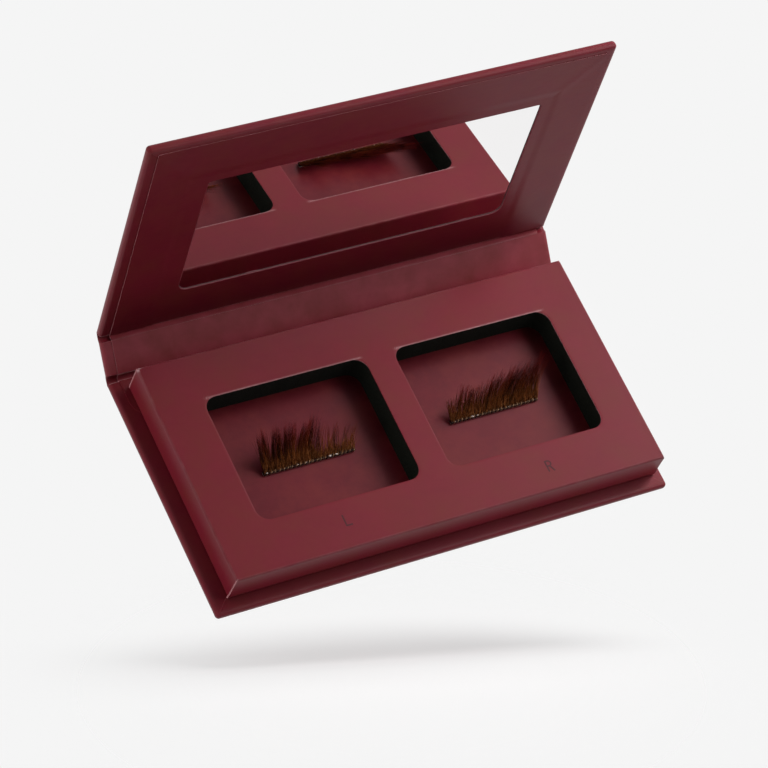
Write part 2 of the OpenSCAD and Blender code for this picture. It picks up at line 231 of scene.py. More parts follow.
# A socket on which sums and products add their own Math nodes.
class Value:
    def __init__(self, recipe, socket):
        self.recipe, self.socket = recipe, socket

    def reckon(self, operation, *terms):
        return self.recipe.add("Math", {"operation": operation}, dict(enumerate(terms)))

    def __add__(self, other):
        return self.reckon("ADD", self, other)

    def __sub__(self, other):
        return self.reckon("SUBTRACT", self, other)

    def __rsub__(self, other):
        return self.reckon("SUBTRACT", other, self)

    def __mul__(self, other):
        return self.reckon("MULTIPLY", self, other)

    __radd__ = __add__
    __rmul__ = __mul__


# The node tree of one finish.
class Recipe:
    def __init__(self, name):
        self.material = bpy.data.materials.new(name)
        self.material.use_nodes = True
        self.tree = self.material.node_tree
        self.tree.nodes.clear()

    # Adds a node of a kind, makes its settings, then sets or links its sockets.
    def add(self, kind, settings=None, inputs=None, output=0):
        node = self.tree.nodes.new("ShaderNode" + kind)
        for name, value in (settings or {}).items():
            if name == "stops":
                ramp = node.color_ramp.elements
                for index, (at, colour) in enumerate(value):
                    stop = ramp[index] if index < 2 else ramp.new(at)
                    stop.position, stop.color = at, (*colour, 1)
            else:
                setattr(node, name, value)
        for name, value in (inputs or {}).items():
            if isinstance(value, Value):
                self.tree.links.new(value.socket, node.inputs[name])
            else:
                node.inputs[name].default_value = value
        return Value(self, node.outputs[output])

    def spot(self):
        return self.add("TexCoord", output="Object")

    # Noise with perMm features in a millimetre.
    def noise(self, where, perMm, detail=2, rough=0.5):
        return self.add("TexNoise", {}, {"Vector": where, "Scale": perMm / mm, "Detail": detail,
                                         "Roughness": rough})

    def named(self, name):
        return self.add("Attribute", {"attribute_name": name}, output="Fac")

    # Colour between first at factor 0 and second at factor 1.
    def mixed(self, factor, first, second):
        sides = {}
        for key, colour in ((6, first), (7, second)):
            sides[key] = colour if isinstance(colour, Value) else (*colour, 1)
        return self.add("Mix", {"data_type": "RGBA", "clamp_factor": True}, {0: factor, **sides}, 2)

    # A normal from a height; depth is the height's size in millimetres.
    def bumped(self, height, depth):
        return self.add("Bump", {}, {"Height": height, "Distance": depth * mm, "Strength": 1.0})

    def finish(self, **sockets):
        names = {"colour": "Base Color", "rough": "Roughness", "metal": "Metallic",
                 "normal": "Normal", "gloss": "Specular IOR Level"}
        shader = self.add("BsdfPrincipled", {}, {names[key]: value for key, value in sockets.items()})
        end = self.tree.nodes.new("ShaderNodeOutputMaterial")
        self.tree.links.new(shader.socket, end.inputs["Surface"])
        return self.material


# Features in a millimetre, weights of the colour's and the relief's parts, and the brown of the drift
paperFinish = {
    "gloss": 0.19, "rough": 0.38, "roughPatch": 0.10, "roughGrain": 0.12,
    "cloudPerMm": 0.09, "driftPerMm": 0.16, "patchPerMm": 0.6, "grainPerMm": 5.5, "fibrePerMm": 3.2,
    "creasePerMm": 0.9, "creaseStretch": (0.22, 0.6, 1.0), "creaseTurn": 0.12,
    "tone": {"cloud": 0.40, "patch": 0.3, "crease": 0.18, "grain": 0.12}, "contrast": 3.2, "mottle": 1.3,
    "relief": {"grain": 0.75, "fibre": 0.45, "patch": 1.2, "crease": 5.0}, "grainDepth": 0.006,
    "brown": (0.138, 0.0150, 0.0165), "wearAndHighlightColour": (0.30, 0.12, 0.14)}


# Soft-touch paper: cloudy colour that drifts to brown in patches, fine felt grain, long faint
# fibres, and paler where the wear value says so: where it is folded or rubbed, and where a highlight is
# painted along lit edges.
def paper(name, colour, deep, wearAndHighlightColour=paperFinish["wearAndHighlightColour"], depth=1.0):
    look = paperFinish
    recipe = Recipe(name)
    spot = recipe.spot()
    aside = recipe.add("Mapping", {}, {"Vector": spot, "Location": (0.3, 0.2, 0.1)})
    drawn = recipe.add("Mapping", {}, {"Vector": spot, "Scale": (1, 0.16, 0.16)})
    creased = recipe.add("Mapping", {}, {"Vector": spot, "Scale": look["creaseStretch"],
                                         "Rotation": (0, 0, look["creaseTurn"])})
    cloud = recipe.noise(spot, look["cloudPerMm"], 3)
    drift = recipe.noise(aside, look["driftPerMm"], 3)
    patch = recipe.noise(spot, look["patchPerMm"], 4, 0.6)
    grain = recipe.noise(spot, look["grainPerMm"], 5, 0.65)
    fibre = recipe.noise(drawn, look["fibrePerMm"], 3)
    crease = recipe.noise(creased, look["creasePerMm"], 3, 0.6)
    share, relief = look["tone"], look["relief"]
    tone = (cloud * share["cloud"] + patch * share["patch"] + crease * share["crease"]
            + grain * share["grain"])
    dyed = recipe.mixed((tone - 0.5) * look["contrast"] * look["mottle"] + 0.5, deep, colour)
    browned = recipe.mixed((drift - 0.5) * 2.4 + (patch - 0.5) * 0.8 + 0.3, dyed, look["brown"])
    # Paler by the wear value: real rubbing and stretching at folds, and painted highlight on lit edges
    wearAndHighlightAmount = recipe.named("wear") * (0.55 + 0.9 * (patch - 0.5))
    height = (grain * relief["grain"] + fibre * relief["fibre"] + patch * relief["patch"]
              + crease * relief["crease"])
    return recipe.finish(colour=recipe.mixed(wearAndHighlightAmount, browned, wearAndHighlightColour),
                         rough=(look["rough"] + (patch - 0.5) * look["roughPatch"]
                                + (grain - 0.5) * look["roughGrain"]),
                         gloss=look["gloss"], normal=recipe.bumped(height, look["grainDepth"] * depth))


# Cut edge of card or paper: the pale core, with a few fibres of the dyed faces.
def cutPaper(name, pale, dark):
    recipe = Recipe(name)
    spot = recipe.spot()
    fibre = recipe.noise(spot, 6, 4, 0.7)
    return recipe.finish(colour=recipe.mixed((fibre - 0.4) * 2.6, dark, pale), rough=0.85, gloss=0.2,
                         normal=recipe.bumped(fibre, 0.02))


coverPaper = paper("soft_touch_cover_paper", (0.160, 0.0112, 0.0212), (0.130, 0.0082, 0.0168))
linerPaper = paper("soft_touch_liner_paper", (0.150, 0.0102, 0.0198), (0.124, 0.0078, 0.0158), depth=0.8)
# The spine's paper is lighter and pinker than the liner's: painted sheen
spinePaperSheen = paper("soft_touch_spine_paper_painted_sheen", (0.232, 0.0340, 0.0460), (0.190, 0.0225, 0.0340), depth=0.9)
trayPaper = paper("tray_card_face", (0.156, 0.0110, 0.0206), (0.138, 0.0090, 0.0178),
                  wearAndHighlightColour=(0.66, 0.44, 0.45), depth=0.7)
# The well card is darker than the tray card: painted shade in the wells
wellPaperShade = paper("well_card_face_painted_shade", (0.118, 0.0078, 0.0146), (0.096, 0.0056, 0.0112), depth=0.9)
cutCard = cutPaper("cut_card_core", (0.56, 0.31, 0.32), (0.30, 0.11, 0.12))
cutSheet = cutPaper("cut_sheet_core", (0.52, 0.26, 0.27), (0.26, 0.08, 0.09))


# The darker and the lighter colour of each other finish, and the colour of the board's flecks
dyes = {"pulp": ((0.20, 0.18, 0.16), (0.36, 0.33, 0.30)), "fleck": (0.08, 0.07, 0.07),
        "foam": ((0.0012, 0.0014, 0.0010), (0.0085, 0.0100, 0.0072)),
        "tape": ((0.55, 0.53, 0.48), (0.68, 0.66, 0.60)), "steel": ((0.52, 0.52, 0.53), (0.64, 0.64, 0.65)),
        "darkThread": ((0.006, 0.003, 0.002), (0.035, 0.012, 0.008)),
        "paleThread": ((0.300, 0.160, 0.080), (0.620, 0.400, 0.240)),
        "glue": ((0.30, 0.20, 0.17), (0.85, 0.80, 0.76)),
        "ink": ((0.034, 0.0038, 0.0060), (0.058, 0.0070, 0.0105)),
        "tone": ((0.10, 0.09, 0.10), (1.55, 1.50, 1.40)), "silver": (0.96, 0.95, 0.95, 1)}
# Colour along a hair, from its root at 0 to its tip at 1; a ramp's first two stops are its ends
hairStops = [(0.0, (0.290, 0.110, 0.038)), (1.0, (0.150, 0.013, 0.012)), (0.22, (0.230, 0.074, 0.022)),
             (0.48, (0.150, 0.032, 0.010)), (0.75, (0.120, 0.014, 0.008))]


# Recycled board: grey pulp with flecks.
def greyboard():
    recipe = Recipe("greyboard_pulp")
    spot = recipe.spot()
    pulp = recipe.noise(spot, 2.2, 5, 0.7)
    fleck = recipe.add("TexVoronoi", {"feature": "F1"}, {"Vector": spot, "Scale": 1.4 / mm}, "Distance")
    colour = recipe.mixed((0.12 - fleck) * 7, recipe.mixed(pulp, *dyes["pulp"]), dyes["fleck"])
    return recipe.finish(colour=colour, rough=0.92, gloss=0.2, normal=recipe.bumped(pulp, 0.05))


# Black die-cut foam: open pores of two sizes and faint upright cutting marks.
def foamRubber():
    recipe = Recipe("black_foam")
    spot = recipe.spot()
    pore = recipe.add("TexVoronoi", {"feature": "F1"}, {"Vector": spot, "Scale": 3.4 / mm}, "Distance")
    small = recipe.noise(spot, 9, 3, 0.7)
    marks = recipe.noise(recipe.add("Mapping", {}, {"Vector": spot, "Scale": (1, 1, 0.08)}), 1.6, 2)
    colour = recipe.mixed(pore * 1.2 + small * 0.35 - 0.2, *dyes["foam"])
    return recipe.finish(colour=colour, rough=0.95, gloss=0.12,
                         normal=recipe.bumped(pore * 1.4 + small * 0.5 + marks * 0.6, 0.12))


# Silvered plate with a breath of haze.
def mirrorGlass():
    recipe = Recipe("mirror_silver")
    haze = recipe.noise(recipe.spot(), 0.12, 4, 0.6)
    return recipe.finish(colour=dyes["silver"], metal=1.0, rough=0.012 + 0.02 * (haze - 0.4), gloss=0.5)


# Double-sided tape and glue sheet, a slightly uneven cream film.
def tapeFilm():
    recipe = Recipe("mirror_tape_film")
    grain = recipe.noise(recipe.spot(), 1.5, 3)
    return recipe.finish(colour=recipe.mixed(grain, *dyes["tape"]), rough=0.6,
                         normal=recipe.bumped(grain, 0.02))


# Nickel-plated discs with turning marks.
def platedSteel():
    recipe = Recipe("plated_steel")
    spot = recipe.spot()
    fine = recipe.noise(spot, 12, 2)
    wide = recipe.noise(spot, 0.8, 3)
    return recipe.finish(colour=recipe.mixed(wide, *dyes["steel"]), metal=1.0, rough=0.22 + 0.2 * fine,
                         normal=recipe.bumped(fine, 0.004))


# Dyed fibre: golden brown at the root, dark brown along the shaft and reddish at the tip, each tuft
# and strand with its own tone.
def hairFibre():
    recipe = Recipe("lash_fibre")
    along, tone = recipe.named("along"), recipe.named("tone")
    shaft = recipe.add("ValToRGB", {"stops": hairStops}, {"Fac": along})
    tint = recipe.mixed(tone, *dyes["tone"])
    colour = recipe.add("Mix", {"data_type": "RGBA", "blend_type": "MULTIPLY"},
                        {0: 1.0, 6: shaft, 7: tint}, 2)
    return recipe.finish(colour=colour, rough=0.5, gloss=0.04)


# Waxed thread of the lash band and its knots, dark or golden by its tone value.
def bandThread():
    recipe = Recipe("lash_band_thread")
    twist = recipe.noise(recipe.spot(), 7, 3)
    dark = recipe.mixed(twist, *dyes["darkThread"])
    pale = recipe.mixed(twist, *dyes["paleThread"])
    return recipe.finish(colour=recipe.mixed(recipe.named("tone"), dark, pale), rough=0.6, gloss=0.12,
                         normal=recipe.bumped(twist, 0.03))


# Dried adhesive: whitish and wet-looking.
def lashGlue():
    recipe = Recipe("lash_adhesive")
    lump = recipe.noise(recipe.spot(), 4, 3)
    return recipe.finish(colour=recipe.mixed((lump - 0.3) * 2.2, *dyes["glue"]), rough=0.18, gloss=0.6,
                         normal=recipe.bumped(lump, 0.03))


# Thin print on the tray, a darker burgundy.
def markInk():
    recipe = Recipe("mark_ink")
    speck = recipe.noise(recipe.spot(), 7, 3)
    return recipe.finish(colour=recipe.mixed(speck, *dyes["ink"]), rough=0.5 + 0.1 * speck, gloss=0.3)


boardPulp, blackFoam, silver, film = greyboard(), foamRubber(), mirrorGlass(), tapeFilm()
steel, fibre, thread, adhesive, ink = platedSteel(), hairFibre(), bandThread(), lashGlue(), markInk()
print("finishes made")


# Shares of a way, moved so that they stand closer together near both its ends: part cosine, part even
def crowdedEnds(share):
    return 0.65 * (0.5 - 0.5 * np.cos(np.pi * share)) + 0.35 * share


# Points by arc length from the middle of one rounded corner to the middle of the next.
def sidePoints(first, second, middle, share):
    path = []
    for corner, other in ((first, second), (second, first)):
        spot, radius = np.array(corner[:2]), corner[2]
        toMiddle = np.sign(middle - spot)
        centre = spot + toMiddle * radius
        along = np.sign(np.round(np.array(other[:2]) - spot, 6))
        turn = np.linspace(np.pi / 4, 0, 16)[:, None]
        outward = -(toMiddle * (along == 0))
        arc = centre + radius * (outward * np.cos(turn) - along * np.sin(turn))
        path.append(arc if other is second else arc[::-1])
    path = np.concatenate(path)
    length = np.concatenate([[0], np.cumsum(np.linalg.norm(np.diff(path, axis=0), axis=1))])
    at = share * length[-1]
    return np.stack([np.interp(at, length, path[:, axis]) for axis in (0, 1)], -1)


# Closed loop through four rounded corners, anticlockwise from the first, with perSide points from
# the middle of each corner to the middle of the next, closer together near the corners.
def roundedLoop(corners, middle, perSide):
    share = crowdedEnds(np.linspace(0, 1, perSide, endpoint=False))
    return np.concatenate([sidePoints(corners[index], corners[(index + 1) % 4], middle, share)
                           for index in range(4)])


# Covered boards: a panel's covering paper is one profile carried round its three free edges

# Points up a side, round a corner and across are the outline's steps; edgeSoft is how far the border
# sinks towards the board's edge, and the waves are the border's cockling, as reach and height
cover = {"edge": 1.0, "roundness": 2.7, "paper": 0.15, "turnIn": 12.0, "cornerRadius": 0.9,
         "overlap": 0.07, "edgeSoft": (0.10, 1.6), "wave": 0.035, "waveReach": (14, 4.5),
         "steps": (26, 9, 44), "coreSteps": (12, 7, 20)}


# Rounded edge of a covered board as (distance in, height), from the inner face to the outer: half a
# superellipse.
def edgeProfile(height, edge, steps=14):
    turn = np.linspace(np.pi / 2, -np.pi / 2, steps)
    power = 2 / cover["roundness"]
    distance = edge * (1 - np.abs(np.cos(turn)) ** power)
    level = height / 2 * (1 + np.sign(np.sin(turn)) * np.abs(np.sin(turn)) ** power)
    return distance, level


# Points round the three free edges of a panel, from its fold up the left, across and down the
# right, moved in by inset, as x and y.
def freeOutline(inset, width, start, end, steps=cover["steps"]):
    left, top = -width / 2 + inset, end - inset
    curve = min(max(cover["cornerRadius"] - inset, 0.25), -left, max(top - start, 0))
    side, arc, across = steps
    run = np.linspace(0, 1, side, endpoint=False)
    corner = np.linspace(0, 1, arc, endpoint=False) * np.pi / 2
    half = 0.5 - 0.5 * np.cos(np.linspace(0, np.pi, across))
    x = np.concatenate([np.full(side, left), left + curve * (1 - np.cos(corner)),
                        left + curve + half * (-2 * (left + curve))])
    y = np.concatenate([start + run * (top - curve - start), top - curve * (1 - np.sin(corner)),
                        np.full(across, top)])
    x = np.concatenate([x, -x[:side + arc][::-1]])
    y = np.concatenate([y, y[:side + arc][::-1]])
    return x, y


# Covering paper of a panel with three free edges: turned-in border, rounded edge, outer face.
def panelCover(width, start, end, height, seed):
    turnIn = cover["turnIn"]
    curveIn, curveUp = edgeProfile(height, cover["edge"])
    border = np.array([turnIn, 11, 9.5, 8, 6.5, 5, 4, 3.2, 2.6, 2.1, 1.7, 1.35, 1.15])
    middle = np.concatenate([[1.3, 1.8, 2.6, 4, 6, 8.5, 11.5], np.linspace(15, width / 2, 12)])
    insets = np.concatenate([border, curveIn, middle])
    levels = np.concatenate([np.full(len(border), height), curveUp, np.zeros(len(middle))])
    inner = np.concatenate([np.ones(len(border)), (curveUp / height) ** 2, np.zeros(len(middle))])[:, None]
    rings = [freeOutline(inset, width, start, end) for inset in insets]
    x, y = (np.array([ring[axis] for ring in rings]) for axis in (0, 1))
    # The border across the free end laps over the two side borders, from the middle of each corner
    fromEnd = np.minimum(np.arange(x.shape[1]), np.arange(x.shape[1])[::-1])
    mitre = cover["steps"][0] + cover["steps"][1] // 2
    flap = rise(fromEnd, mitre - 0.5, mitre + 0.5)
    depth = insets[:, None]
    sink, sinkReach = cover["edgeSoft"]
    soft = np.exp(-depth / sinkReach) * sink * inner
    longWave, shortWave = (ripple(x, y, reach, seed + index)
                           for index, reach in enumerate(cover["waveReach"]))
    wave = longWave * cover["wave"] + shortWave * cover["wave"] * 0.35
    fade = rise(depth, 0, 0.8) * (1 - 0.75 * rise(depth, 1.5, 6))
    z = (levels[:, None] - soft - np.abs(wave) * fade * inner
         + cover["overlap"] * flap * inner * rise(depth, 0.1, 0.5))
    # Paler line along the rounded edge: a little rubbed wear, and a painted highlight where the edge
    # catches light
    wear = np.exp(-((depth - 0.35) / 0.4) ** 2) * (0.05 + 0.08 * ripple(x, y, 5, seed + 2))
    return surface(np.stack([x, y, z], -1), wear=np.clip(wear, 0, 1))


boardGap = cover["paper"] + 0.02  # from a panel's outer face to its board


# Edge roundings, the thin board's top and the frame board's underside above the lid's outer face,
# and how far a board stands back from its fold
core = {"edge": 0.8, "thinEdge": 0.3, "thinHeight": 0.66, "frameLift": 0.68, "frameEdge": 0.7,
        "foldGap": 0.1, "spineGap": 0.05}


# A plain board with softened edges, closed all round: rings from the middle of its inner face,
# round the edge and back to the middle of its outer face.
def boardCore(width, start, end, low, high, edge):
    curveIn, curveUp = edgeProfile(high - low, edge, 10)
    flat = np.linspace(min(width / 2, end - start) - 0.01, edge, 5)
    insets = np.concatenate([flat, curveIn, flat[::-1]])
    levels = low + np.concatenate([np.full(5, high - low), curveUp, np.zeros(5)])
    rings = [freeOutline(inset, width, start, end, cover["coreSteps"]) for inset in insets]
    return surface(np.array([np.stack([x, y, np.full(len(x), level)], -1)
                             for (x, y), level in zip(rings, levels)]))


coreWidth = caseWidth - 2 * boardGap
for body, low, high, seed in (("base", baseLow, baseHigh, 3), ("lid", lidLow, lidHigh, 11)):
    panel = panelCover(caseWidth, low[1], high[1], high[2], seed)
    makePiece(body + "_cover", placed(panel, body), [coverPaper, cutSheet],
              [body + "_wrap"], wall=cover["paper"], body=body)
baseCore = boardCore(coreWidth, baseLow[1] + core["foldGap"], baseHigh[1] - boardGap, boardGap,
                     baseHigh[2] - boardGap, core["edge"])
lidCore = boardCore(coreWidth - 0.3, lidLow[1] + core["foldGap"], lidHigh[1] - boardGap - 0.15, boardGap,
                    boardGap + core["thinHeight"], core["thinEdge"])
spineCore = boardCore(coreWidth, spineLow[1] + core["spineGap"], spineHigh[1] - core["spineGap"], boardGap,
                      spineHigh[2] - boardGap, core["edge"])
for name, panel, body, node in (("base_core", baseCore, "base", "base_board"),
                                ("lid_back_core", lidCore, "lid", "lid_back_board"),
                                ("spine_core", spineCore, "spine", "spine_board")):
    makePiece(name, placed(panel, body), [boardPulp], [node], body=body, capped=True)
print("covers made")


# The spine and the two folds share one cross-section: border, edge, outer face, edge, border

# Half the covered board's cross-section, from the border's inner edge to the middle of the outer
# face, as (distance in, share of the height).
def crossProfile(steps=14):
    curveIn, curveUp = edgeProfile(1, cover["edge"], steps)
    border = np.array([cover["turnIn"], 10, 8, 6, 4.5, 3.2, 2.3, 1.7, 1.3])
    middle = np.array([1.3, 2.2, 4, 7, 11, 17, 25, 34, 45])
    return (np.concatenate([border, curveIn, middle]),
            np.concatenate([np.ones(len(border)), curveUp, np.zeros(len(middle))]))


# Covering paper carried along a pair of side-view lines, outer and inner, of equal count: each
# point of the cross-section stands between them at its share of the height.
def crossCover(outer, inner, seed, wave):
    distance, share = crossProfile()
    half = caseWidth / 2
    x = np.concatenate([-half + distance, half - distance[::-1]])
    share = np.concatenate([share, share[::-1]])
    rows = outer[:, None, :] * (1 - share[None, :, None]) + inner[:, None, :] * share[None, :, None]
    across = np.broadcast_to(x, rows.shape[:2])
    normal = inner - outer
    normal = normal / np.linalg.norm(normal, axis=1, keepdims=True)
    bump = -np.abs(ripple(across, rows[..., 0] + rows[..., 1], 6, seed)) * wave * share[None, :]
    rows = rows + normal[:, None, :] * bump[..., None]
    edge = np.concatenate([distance, distance[::-1]])
    # Paler line along the rounded edges: a little rubbed wear, and a painted highlight where the edge
    # catches light
    wear = 0.14 * np.exp(-((edge - 0.45) / 0.5) ** 2) * np.ones(rows.shape[:2])
    grid = np.stack([across, rows[..., 0], rows[..., 1]], -1)
    return surface(grid, turned=True, wear=wear)


# Side-view points (y, z) from distances along a panel and heights above its outer face.
def sideView(panel, along, height):
    return place(np.stack(np.broadcast_arrays(0.0, along, height), -1), panel)[..., 1:]


# A smooth bend from start to end that turns near corner: a quadratic curve.
def bendLine(start, corner, end, count):
    t = np.linspace(0, 1, count)[:, None]
    return start * (1 - t) ** 2 + 2 * corner * t * (1 - t) + end * t ** 2


# How far the papers draw together between the boards, as shares, and the hollow outside, in millimetres
fold = {"rows": 25, "pinch": 0.80, "linerDip": 0.72, "pull": 0.35}


# Outer and inner side-view lines over a fold. The inner line dips towards the outer one between the
# boards, where the papers are pinched together.
def foldLines(startPanel, startAt, startHeight, cornerAt, endPanel, endAt, endHeight):
    start, end = sideView(startPanel, startAt, 0), sideView(endPanel, endAt, 0)
    outer = bendLine(start, cornerAt, end, fold["rows"])
    t = np.linspace(0, 1, fold["rows"])[:, None]
    chord = sideView(startPanel, startAt, startHeight) * (1 - t) + sideView(endPanel, endAt, endHeight) * t
    dip = np.sin(np.pi * t) ** 0.8 * fold["pinch"]
    pull = np.sin(np.pi * t) ** 2 * fold["pull"] / max(startHeight, endHeight)
    outer = outer * (1 - pull) + chord * pull
    inner = chord * (1 - dip) + outer * dip
    return outer, inner, chord


spineRows = np.linspace(spineLow[1], spineHigh[1], 12)
spineOuter = sideView("spine", spineRows, 0)
spineInner = sideView("spine", spineRows, spineHigh[2])
makePiece("spine_cover", crossCover(spineOuter, spineInner, 21, 0.03), [spinePaperSheen, cutSheet],
          ["spine_wrap"], wall=cover["paper"], body="spine")

foldOneLines = foldLines("base", baseLow[1], baseHigh[2], foldOne[1:], "spine", spineLow[1], spineHigh[2])
foldTwoLines = foldLines("spine", spineHigh[1], spineHigh[2], foldTwo[1:], "lid", lidLow[1], lidHigh[2])


# A side-view point as a point of the row frame, in the middle of the case
def throughX(side):
    return np.array([0.0, side[0], side[1]])


# A fold's cover is laid over the bend between the inner corners of its two boards
for name, (outer, inner, chord), bodies, node, seed in (
        ("base_fold_cover", foldOneLines, ("base", "spine"), "base_hinge_wrap", 31),
        ("lid_fold_cover", foldTwoLines, ("spine", "lid"), "lid_hinge_wrap", 37)):
    makePiece(name, crossCover(outer, inner, seed, 0.02), [coverPaper, cutSheet],
              [node], wall=cover["paper"], blend=(*bodies, throughX(chord[0]), throughX(chord[-1])))
print("spine and folds made")


# Liner sheets

liner = {"side": 2.5, "sheet": 0.15, "ridge": 0.13, "ridgeWidth": 2.2, "wave": 0.02, "lip": 0.14,
         "lap": 0.05, "mirrorLift": 0.35, "mirrorGap": 0.15}


# A strip of liner laid on side-view lines, between the bare borders.
def linerStrip(lines, seed):
    half = caseWidth / 2 - liner["side"]
    x = np.concatenate([[-half, -half + 0.3], np.linspace(-half + 1, half - 1, 90), [half - 0.3, half]])
    tangent = np.gradient(lines, axis=0)
    normal = np.stack([-tangent[:, 1], tangent[:, 0]], -1)
    normal = normal / np.linalg.norm(normal, axis=1, keepdims=True)
    across, row = np.meshgrid(x, np.arange(len(lines)))
    height = liner["sheet"] + liner["wave"] * ripple(across, row * 0.6, 9, seed)
    side = lines[row] + normal[row] * height[..., None]
    return surface(np.stack([across, side[..., 0], side[..., 1]], -1), wear=0.0)


mirrorLow, mirrorHigh = panelBox("mirror", "lid")
linerLow, linerHigh = panelBox("lid_liner", "lid")
windowMiddle = (mirrorLow[:2] + mirrorHigh[:2]) / 2
mirrorFront = mirrorHigh[2] + liner["mirrorLift"]
mirrorWindow = {"low": mirrorLow[:2] - liner["mirrorGap"], "high": mirrorHigh[:2] + liner["mirrorGap"],
                "lowRadius": 2.6, "highRadius": 0.6}


# Height of the liner over the lid's outer face: the border's level, down by the turned-in paper's
# thickness inside it, with soft ridges beside the step.
def linerHeight(x, y, seed):
    inEdge = np.minimum(caseWidth / 2 - np.abs(x), lidHigh[1] - y)
    half = liner["ridgeWidth"] * 0.5
    step = rise(inEdge, cover["turnIn"] - half, cover["turnIn"] + half)
    mitre = (lidHigh[1] - y) - (caseWidth / 2 - np.abs(x))
    overlap = liner["lap"] * np.exp(-(mitre / 1.6) ** 2) * (1 - step)
    return (lidHigh[2] + liner["sheet"] - liner["ridge"] * step + overlap
            + liner["wave"] * ripple(x, y, 16, seed))


# The mirror window's outline, moved out by inset.
def windowLoop(inset, perSide=44):
    (left, bottom), (right, top) = mirrorWindow["low"] - inset, mirrorWindow["high"] + inset
    lowRadius, highRadius = (mirrorWindow[end] + inset for end in ("lowRadius", "highRadius"))
    return roundedLoop([(right, bottom, lowRadius), (right, top, highRadius), (left, top, highRadius),
                        (left, bottom, lowRadius)], windowMiddle, perSide)


# A panel's outline, square at its fold, with the radius at its free corners.
def sheetLoop(low, high, radius, perSide=44):
    return roundedLoop([(high[0], low[1], 0.1), (high[0], high[1], radius), (low[0], high[1], radius),
                        (low[0], low[1], 0.1)], windowMiddle, perSide)


# Liner with the mirror window. Its rings start down in the recess, turn over the window's edge and
# run out to the sheet's own edges, over the step of the turned-in borders.
def lidLiner(seed):
    turn = np.linspace(0, np.pi / 2, 7)
    lip = liner["lip"]
    drop = np.concatenate([[mirrorFront + 0.03, (mirrorFront + lidHigh[2]) / 2], np.zeros(7)])
    down = np.concatenate([[1, 1], 1 - np.sin(turn)])
    out = np.concatenate([[0, 0], lip * (1 - np.cos(turn))])
    inner = windowLoop(lip)
    outer = sheetLoop(linerLow, linerHigh, 0.12)
    share = np.linspace(0, 1, 44)[:, None, None]
    flat = inner * (1 - share) + outer * share
    plan = np.concatenate([np.array([windowLoop(step) for step in out]), flat[1:]])
    level = linerHeight(plan[..., 0], plan[..., 1], seed)
    level[2:9] -= lip * down[2:, None]
    level[:2] = drop[:2, None]
    # Pale where the liner turns over into the mirror's recess: a painted highlight on the lit recess wall
    wear = np.zeros(level.shape)
    wear[:8] = np.array([0.75, 0.85, 0.95, 1, 1, 0.8, 0.4, 0.1])[:, None]
    return surface(raised(plan, level), closed=True, turned=True, wear=wear)


# The lid's second board: window wall, inner face, rounded outer edge and the face that lies on the
# back board, as one ring that closes on itself.
def frameCore():
    low, high = boardGap + core["frameLift"], lidHigh[2] - boardGap
    turn = np.linspace(np.pi / 2, 0, 8)
    edge = core["frameEdge"]
    nearFold = np.array([-coreWidth / 2, lidLow[1] + core["foldGap"]])
    farEnd = np.array([coreWidth / 2, lidHigh[1] - boardGap])

    def outline(inset):
        return sheetLoop(nearFold + (inset, 0), farEnd - inset, max(cover["cornerRadius"] - inset, 0.2))

    window = windowLoop(0.22)
    rings = [window, window, outline(edge)]
    rings += [outline(edge * (1 - np.cos(angle))) for angle in turn]
    rings += [outline(0), window]
    levels = [low, high, high] + [low + (high - low) * np.sin(angle) for angle in turn] + [low, low]
    return surface(raised(np.array(rings), np.array(levels)[:, None]), closed=True, turned=True)


# Mirror plate with the window's rounded corners and a ground arris.
def mirrorPlate():
    back, front = mirrorLow[2] + 0.02, mirrorFront
    insets = [-0.12, -0.12, -0.16, -0.22]
    levels = [back, front - 0.06, front - 0.015, front]
    rings = [windowLoop(inset) for inset in insets]
    middle = np.broadcast_to(windowMiddle, rings[0].shape)
    rings = [middle, *rings, middle]
    levels = [back, *levels, front]
    return surface(raised(np.array(rings), np.array(levels)[:, None]), closed=True)


makePiece("lid_liner_sheet", placed(lidLiner(43), "lid"),
          [linerPaper, cutSheet], ["lid_liner"], wall=liner["sheet"], body="lid")
makePiece("lid_frame_core", placed(frameCore(), "lid"), [boardPulp], ["lid_frame_board"],
          body="lid")
makePiece("mirror_plate", placed(mirrorPlate(), "lid"), [silver], ["mirror"], body="lid",
          angle=10)

spineLine = sideView("spine", spineRows, spineHigh[2])
makePiece("spine_liner_sheet", linerStrip(spineLine, 51), [spinePaperSheen, cutSheet],
          ["spine_liner"], wall=liner["sheet"] * 0.9, body="spine")
# The skew moves a fold's hollow towards its end: at the lid the liner stays flat and then drops
for name, (outer, inner, chord), bodies, node, seed, skew in (
        ("base_fold_liner", foldOneLines, ("base", "spine"), "base_hinge_liner", 53, 1),
        ("lid_fold_liner", foldTwoLines, ("spine", "lid"), "lid_hinge_liner", 57, 2.6)):
    t = np.linspace(0, 1, len(chord))[:, None]
    dip = np.sin(np.pi * t ** skew) ** 0.9 * fold["linerDip"]
    bed = chord * (1 - dip) + outer * dip
    makePiece(name, linerStrip(bed, seed), [spinePaperSheen, cutSheet], [node],
              wall=liner["sheet"] * 0.8, blend=(*bodies, throughX(chord[0]), throughX(chord[-1])))
print("liners made")


# Tray: folded card with two windows, foam behind them

# flare is how far the front wall's ends open at their foot, tuck how far the flanges are cut short
card = {"thick": 0.36, "bend": 0.46, "flange": 6.0, "flare": 0.28, "tuck": 0.6, "wave": 0.02,
        "sag": 0.04, "edgeWearAndHighlight": 0.12, "rearHighlight": 0.85, "cornerPaleSpot": 2.0}
foamLow, foamHigh = nodeBox("foam_insert")
wells = {"size": (40.3, 31.8), "radius": 3.0, "centres": (-22.4, 25.2), "middleY": 0.6}
barX = sum(wells["centres"]) / 2


